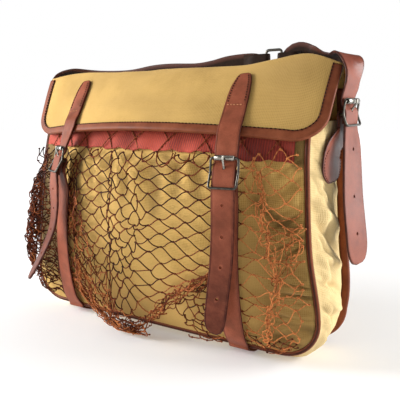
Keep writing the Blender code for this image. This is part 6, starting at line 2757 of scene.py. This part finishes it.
    hangings: tuple[Hanging, ...] = (
        Hanging(0.020, 0.016, 0.214, 0.011), Hanging(0.042, 0.020, 0.214, 0.014),
        Hanging(0.064, 0.018, 0.214, 0.010), Hanging(0.086, 0.016, 0.214, 0.012),
        Hanging(-0.062, 0.020, 0.214, 0.010), Hanging(0.060, 0.014, 0.016, 0.010),
        Hanging(0.076, 0.016, 0.016, 0.012), Hanging(-0.040, 0.022, 0.014, 0.010),
        Hanging(-0.062, 0.020, 0.014, 0.009), Hanging(-0.020, 0.020, 0.014, 0.010))
    draft: Draft = field(default_factory=Draft)
    rng: random.Random = field(default_factory=random.Random)

    def half(self, height: float) -> float:
        """Return half the width of the net at a height, inside the piping."""
        return BAG.front_outline(BAG.piping_radius + self.edge_margin).half_at(height)

    def free_of_straps(self, x: float, height: float) -> float:
        """Return 0 where a lower strap presses the net flat, 1 well away from it."""
        return self.strap_free.share(min(abs(x - closing.lower_x(height)) - closing.half
                                         for closing in CLOSINGS))

    def surface(self, x: float, height: float, lift: float = 0.0) -> Vector:
        """Find a place on the net's skin, with an extra lift where no strap lies on it.

        Args:
            x: place across the bag.
            height: height on the front.
            lift: extra distance off the front.

        Returns:
            The place, kept off the floor.
        """
        half = self.half(max(height, self.edge_least))
        across = min(max(x / half, -1.0), 1.0)
        slack = Slack(*read_table(self.slack, height))
        free = self.free_of_straps(x, height)
        swell = (slack.left * self.left_swell.share(across) + slack.middle * self.middle_swell.share(across)
                 + slack.right * self.right_swell.share(across))
        stand = slack.all_over + swell * (1.0 - abs(across) ** self.edge_power) * free
        stand += lift * (self.pressed_lift + (1.0 - self.pressed_lift) * free)
        point = BAG.on_front(x, max(height, BAG.front_low + self.low_margin), stand)
        pool = self.pool.share(across) * slack.floor
        point.y -= self.pool_out * pool
        point.z += (self.pool_height - point.z) * pool * self.pool_share
        point.z = max(point.z, self.radius + self.floor_gap)
        return point

    def dye(self, x: float, height: float) -> float:
        """Find the cord's tone.

        Args:
            x: place across.
            height: height on the front.

        Returns:
            0 for dark brown to 1 for copper orange.
        """
        turn = Turn(*read_table(self.turns, x))
        across, up = self.dyed_left
        tone = self.tone_base + self.tone_right * self.dyed_right.share(x)
        tone += self.tone_left * across.share(x) * up.share(height)
        near = Bell(turn.height, self.dyed_turn).share(height)
        tone += self.tone_at_turn * near * (x > self.turn_tone_from)
        tone += self.tone_patch * noise.noise(Vector((x, height, 0.0)) * self.tone_patch_lumps)
        return min(max(tone, 0.0), 1.0)

    def place_across(self, column: int, height: float) -> float:
        """Read from the guides where a strand line runs.

        Args:
            column: number of the strand line.
            height: height on the front.

        Returns:
            Its place across.
        """
        i = 0
        while i < len(self.guides) - 2 and self.guides[i + 1].column < column:
            i += 1
        before = self.guides[i]
        after = self.guides[i + 1]
        share = (column - before.column) / (after.column - before.column)
        places = [a + (b - a) * share for a, b in zip(before.places, after.places)]
        return read_table(list(zip(self.guide_heights, places)), height)[1]

    def shaken(self, most: float) -> float:
        """Draw a number from -most to most."""
        return self.rng.uniform(-most, most)

    def knot_place(self, row: int, column: int) -> Knot:
        """Place a knot of the even mesh, or of the part that has run together below its turn.

        Args:
            row: row of the knot.
            column: strand line of the knot.

        Returns:
            Its place across, its height and its lift.
        """
        height = self.top - (self.top - self.low) * row / self.rows
        x = self.place_across(column, height)
        here = Vector((x, 0.0, height))
        left = self.left_bay.share(x)
        right = self.right_bay.share(x)
        loose = 1.0 - self.even_share * self.even_part.share(x) * (1.0 - right)
        x += (self.wander_across * noise.noise(here * self.across_lumps + Vector((1.3, 0.0, 0.0)))
              + self.shaken(self.shake_across)) * loose
        height += self.wander_up * noise.noise(here * self.up_lumps + Vector((0.0, 4.1, 0.0))) * loose
        height += self.shaken(self.shake_up) * (loose + self.left_shake * left + self.right_shake * right)
        x += self.shaken(self.bay_shake) * right
        height -= self.sag * self.sag_near.share(abs(x - self.sag_middle)) * (row < self.sag_rows)
        ruffle = self.bay_lift + self.bay_ruffle * noise.noise(here * self.bay_lumps)
        lift = self.rng.uniform(*self.even_lift) + left * ruffle
        turn = Turn(*read_table(self.turns, x))
        share = (height - turn.height) / self.squeeze_reach
        if 0.0 < share < 1.0 and x < self.squeeze_to:
            height = turn.height + self.squeeze_reach * share ** self.squeeze_power
        if height < turn.height:
            depth = min((turn.height - height) / self.heap_depth, self.heap_most)
            x += self.shaken(1.0) * turn.spread * self.heap_spread
            height = turn.height + self.shaken(self.heap_spread) * turn.spread
            height += self.heap_wave * math.sin(row * self.heap_wave_pace)
            lift = self.rng.uniform(0.0, self.heap_lift) + depth * self.rng.uniform(0.0, self.heap_layer)
        half = self.half(max(height, self.half_least))
        return min(max(x, -half - self.bay_past * left), half), max(height, self.knot_least), lift

    def build(self, ribbon: Ribbon) -> None:
        """Knot the whole mesh and lace it to the ribbon, then make its gathered and hanging parts.

        Args:
            ribbon: the ribbon that carries it.
        """
        self.rng = random.Random(self.seed)
        self.knot(Mesh(self.rows + 1, self.guides[-1].column + 1, self.knot_place, self.dye))
        ribbon.lacing(self.draft, self.sides)
        self.publish("knotted_net", "net")
        for gather in self.gathers:
            for _ in range(gather.layers):
                self.gather(gather)
        self.droop()
        for hanging in self.hangings:
            self.hang(hanging)
        for k in range(self.loose_count):
            self.loose_loop(k)
        self.publish("gathered_net")

    def knot(self, mesh: Mesh) -> None:
        """Knot a piece of mesh.

        Args:
            mesh: its size, places and dye.
        """
        knots = {(i, j): mesh.place(i, j) for i in range(mesh.rows) for j in range(mesh.columns)
                 if (i + j) % 2 == 0}
        for (i, j), here in knots.items():
            self.draft.ball(self.surface(*here), RIGHTWARD, self.knot_length * mesh.fine,
                            self.knot_width * mesh.fine, self.sides, mesh.dye(here[0], here[1]))
            for step in (-1, 1):
                there = knots.get((i + 1, j + step))
                if there is not None:
                    self.bar(here, there, step, mesh)

    def bar(self, here: Knot, there: Knot, step: int, mesh: Mesh) -> None:
        """Lay one strand between two knots: it leaves them level, and bulges where it is slack.

        Args:
            here: upper knot as place across, height and lift.
            there: lower knot.
            step: -1 where the strand runs down to the left, 1 where it runs down to the right.
            mesh: the mesh that it belongs to.
        """
        x0, z0, lift0 = here
        x1, z1, lift1 = there
        span = math.hypot(x1 - x0, z1 - z0)
        if span > self.longest_bar:
            return
        hook = self.hooks[0 if step < 0 else 1] + self.rng.uniform(*self.hook_play)
        spare = max(self.rest_length - span, 0.0)
        # A shallow arch rises by the root of three eighths of its span times its spare length
        rise = math.sqrt(3.0 / 8.0 * span * spare)
        bulge = min(rise, self.most_bulge) * self.rng.uniform(*self.bulge_play)
        if abs(x1 - x0) < self.upright:
            bulge = min(bulge, self.upright_bulge)
        side = self.rng.choice((-1.0, 1.0))
        down = self.rng.uniform(*self.down_play)
        path = []
        for k in range(self.steps + 1):
            t = k / self.steps
            hump = 4.0 * t * (1.0 - t)
            x = x0 + (x1 - x0) * t + side * bulge * self.bulge_across * hump
            z = z0 + (z1 - z0) * (t + (smooth_step(t) - t) * hook * self.hook_bend)
            z -= down * bulge * self.bulge_down * hump
            path.append(self.surface(x, z, lift0 + (lift1 - lift0) * t + self.bulge_out * bulge * hump))
        tone = mesh.dye((x0 + x1) / 2.0, (z0 + z1) / 2.0) + self.shaken(self.bar_tone)
        radius = self.radius * mesh.fine * (self.bay_fineness if x0 > self.bay_edge else 1.0)
        self.draft.tube(path, radius * self.rng.uniform(*self.cord_play), self.sides, tone=tone)

    def knots_on(self, path: Line, places: Sequence[int], tone: float) -> None:
        """Tie knots into a strand.

        Args:
            path: the strand's line.
            places: numbers of the points that carry a knot.
            tone: the cord's tone.
        """
        for i in places:
            self.draft.ball(path[i], (path[i + 1] - path[i]).normalized(), self.knot_length,
                            self.knot_width, self.sides, tone)

    def gather(self, gather: Gather) -> None:
        """Lay mesh that has run together along a line: narrow cells on top of each other.

        Args:
            gather: the line and its strands.
        """
        guide = spline([Vector((x, 0.0, z)) for x, z in gather.line], 6)
        ways = tangents(guide)
        lengths = path_lengths(guide)
        rows = max(int(lengths[-1] / self.gathered_cell), 3)
        phase = self.rng.uniform(0.0, 100.0)

        def place(i: int, j: int) -> Knot:
            """Place a knot of the gather.

            Args:
                i: row of the knot.
                j: strand of the knot.

            Returns:
                Its place across, its height and its lift.
            """
            along = min(max((i + self.shaken(self.gather_row_shake)) / (rows - 1), 0.0), 1.0)
            index = min(sum(length < along * lengths[-1] for length in lengths), len(guide) - 1)
            across = (j / (gather.strands - 1) - 0.5) * 2.0
            taper = self.gather_ends + (1.0 - self.gather_ends) * math.sin(math.pi * along)
            wander = noise.noise(Vector((phase, along * self.gather_wander_lumps, across)))
            reach = gather.spread * (across * taper + self.gather_wander * wander)
            reach += self.shaken(self.gather_shake)
            spot = guide[index] + Vector((ways[index].z, 0.0, -ways[index].x)) * reach
            lumps_along, lumps_across = self.gather_heap_lumps
            heap = noise.noise(Vector((along * lumps_along, across * lumps_across, phase)))
            lift = gather.spread * (self.gather_lift + self.gather_heap * heap)
            return spot.x, max(spot.z, self.strand_least), max(lift, 0.0)

        def dye(x: float, height: float) -> float:
            """Return the gather's own tone, uneven from place to place."""
            patch = self.gather_patch * noise.noise(Vector((x, height, phase)) * self.gather_patch_lumps)
            return min(max(gather.tone + patch + self.shaken(self.gather_tone_shake), 0.0), 1.0)

        self.knot(Mesh(rows, gather.strands, place, dye, self.gathered_fineness))

    def droop(self) -> None:
        """Hang rounded rows of mesh below the roll, where the net turns back on itself."""
        rows, columns = self.droop_size
        x, z = self.droop_centre
        first, sweep = self.droop_angles
        inner, apart = self.droop_rings
        wide, high = self.droop_shares

        def place(i: int, j: int) -> Knot:
            """Place a knot of the droop, on rings round its right end.

            Args:
                i: ring of the knot.
                j: number of the knot on its ring.

            Returns:
                Its place across, its height and its lift.
            """
            angle = math.radians(first + sweep * j / (columns - 1) + self.shaken(self.droop_angle_shake))
            ring = inner + apart * i + self.shaken(self.droop_ring_shake)
            return (x + ring * wide * math.cos(angle), z + ring * high * math.sin(angle),
                    self.rng.uniform(0.0, self.droop_lift))

        def dye(*_: float) -> float:
            """Draw the droop's own tone."""
            return self.droop_tone + self.rng.uniform(*self.droop_tone_play)

        self.knot(Mesh(rows, columns, place, dye))

    def hang(self, hanging: Hanging) -> None:
        """Hang one slack loop with knots on it.

        Args:
            hanging: the loop.
        """
        line = []
        for across, down, lift in self.hang_line:
            x = hanging.x + hanging.width * across + self.shaken(self.hang_shake)
            lift += self.rng.uniform(0.0, self.hang_shake)
            z = hanging.height - hanging.depth * down + self.shaken(self.hang_shake)
            line.append(Vector((x, lift, z)))
        path = [self.surface(spot.x, max(spot.z, self.strand_least), spot.y) for spot in spline(line, 4)]
        self.draft.tube(path, self.radius, self.sides, tone=self.hang_tone)
        first = self.rng.randrange(1, self.hang_knots)
        self.knots_on(path, range(first, len(path) - 1, self.hang_knots), self.hang_tone)

    def loose_loop(self, k: int) -> None:
        """Let a rounded loop of the left bay stand out past the side of the bag.

        Args:
            k: number of the loop from the top.
        """
        z = self.loose_top - self.loose_pitch * k + self.shaken(self.loose_shake)
        bow = math.sin(math.pi * (k + 1) / (self.loose_count + 1))
        least, more = self.loose_reach
        reach = (least + more * bow) * self.rng.uniform(*self.loose_reach_play)
        drop = self.rng.uniform(*self.loose_drop)
        first, step = self.loose_turns
        path = []
        for turn in range(9):
            angle = math.radians(first + step * turn)
            spot = self.surface(self.loose_x - self.loose_round * math.cos(angle),
                                z + drop * math.sin(angle), self.loose_lift)
            spot.x -= reach * max(math.cos(angle), 0.0)
            spot.y += self.loose_sway * math.sin(angle * 2.0 + k)
            path.append(spot)
        path = spline(path, 3)
        tone = self.rng.uniform(*self.loose_tone)
        self.draft.tube(path, self.radius, self.sides, tone=tone)
        self.knots_on(path, self.loose_knots, tone)

    def publish(self, name: str, *nodes: str) -> None:
        """Make and publish a joined mesh of all strands laid so far, and start the next."""
        publish(self.draft.build(name, CORD_FINISH), Slot.CORD, *nodes)
        self.draft = Draft()


class SoftLight(NamedTuple):
    """A square soft light: where it hangs, what it faces, the length of its sides and its watts."""

    name: str
    position: Knot
    target: Knot
    size: float
    power: float


@dataclass
class Studio:
    """Camera, floor and soft lights.

    The air around is white at the height of the eye, where the picture shows it, and dimmer above.
    """

    azimuth: float = 33.05
    elevation: float = 9.22
    roll: float = -0.62
    position: Knot = (0.387, -0.541, 0.260)
    focal_pixels: float = 555.6
    picture_pixels: float = 400.0
    sensor: float = 36.0
    near: float = 0.01
    floor_half: float = 6.0
    air_band: tuple[float, float] = (0.20, 0.27)
    air_strength: tuple[float, float] = (1.0, 0.15)
    sun_strength: float = 0.25
    sun_angle: float = 60.0
    lights: tuple[SoftLight, ...] = (
        SoftLight("key", (-1.30, -0.78, 0.66), (0.0, 0.0, 0.15), 0.8, 39.0),
        SoftLight("side", (1.50, 0.80, 0.60), (0.15, 0.0, 0.15), 1.0, 38.0))

    def build(self) -> None:
        """Set up the picture."""
        self.camera()
        self.floor()
        for light in self.lights:
            self.hang_light(light)
        self.sun()
        self.air()
        bpy.context.scene.view_settings.view_transform = "Standard"

    def hang_light(self, light: SoftLight) -> None:
        """Hang one soft light.

        Args:
            light: the light.
        """
        data = bpy.data.lights.new(light.name, "AREA")
        data.shape = "SQUARE"
        data.size = light.size
        data.energy = light.power
        item = bpy.data.objects.new(light.name, data)
        item.location = light.position
        facing = Vector(light.target) - Vector(light.position)
        item.rotation_euler = facing.to_track_quat("-Z", "Y").to_euler()
        bpy.context.scene.collection.objects.link(item)

    def sun(self) -> None:
        """Light the floor evenly and softly from above."""
        data = bpy.data.lights.new("overhead", "SUN")
        data.energy = self.sun_strength
        data.angle = math.radians(self.sun_angle)
        bpy.context.scene.collection.objects.link(bpy.data.objects.new("overhead", data))

    def air(self) -> None:
        """Make the surroundings white, and dimmer above the eye."""
        world = bpy.data.worlds.new("studio_air")
        world.use_nodes = True
        bpy.context.scene.world = world
        tree = world.node_tree
        way = add_node(tree, "TexCoord", "Generated")
        rise = add_node(tree, "SeparateXYZ", "Z", Vector=way)
        strength = add_node(tree, "MapRange", "Result", Value=rise, From_Min=self.air_band[0],
                            From_Max=self.air_band[1], To_Min=self.air_strength[0],
                            To_Max=self.air_strength[1])
        feed(tree, tree.nodes["Background"], Color=linear("#FFFFFF"), Strength=strength)

    def camera(self) -> None:
        """Stand the camera where the photograph was taken from."""
        a, e, r = (math.radians(angle) for angle in (self.azimuth, self.elevation, self.roll))
        back = Vector((math.sin(a) * math.cos(e), -math.cos(a) * math.cos(e), math.sin(e)))
        right = (-back).cross(UP).normalized()
        up = right.cross(-back)
        rolled = right * math.cos(r) + up * math.sin(r)
        upright = up * math.cos(r) - right * math.sin(r)
        pose = Matrix((rolled, upright, back)).transposed().to_4x4()
        pose.translation = Vector(self.position)
        data = bpy.data.cameras.new("camera")
        data.sensor_width = self.sensor
        data.lens = self.focal_pixels * self.sensor / self.picture_pixels
        data.clip_start = self.near
        item = bpy.data.objects.new("camera", data)
        item.matrix_world = pose
        bpy.context.scene.collection.objects.link(item)
        bpy.context.scene.camera = item

    def floor(self) -> None:
        """Lay the pale floor."""
        half = self.floor_half
        corners = ((-half, -half), (half, -half), (half, half), (-half, half))
        draft = Draft()
        draft.faces.append(tuple(draft.add(Vector((x, y, 0.0)), (x, y)) for x, y in corners))
        draft.build("floor", FLOOR_FINISH)


def main() -> None:
    """Build the bag's looks in order."""
    logging.basicConfig(level=logging.INFO, format="%(name)s %(message)s")
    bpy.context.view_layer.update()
    Studio().build()
    Panels().build()
    Flap().build()
    ribbon = Ribbon()
    ribbon.build()
    Net().build(ribbon)
    for closing in CLOSINGS:
        closing.build()
    Shoulder().build()


if __name__ == "__main__":
    main()
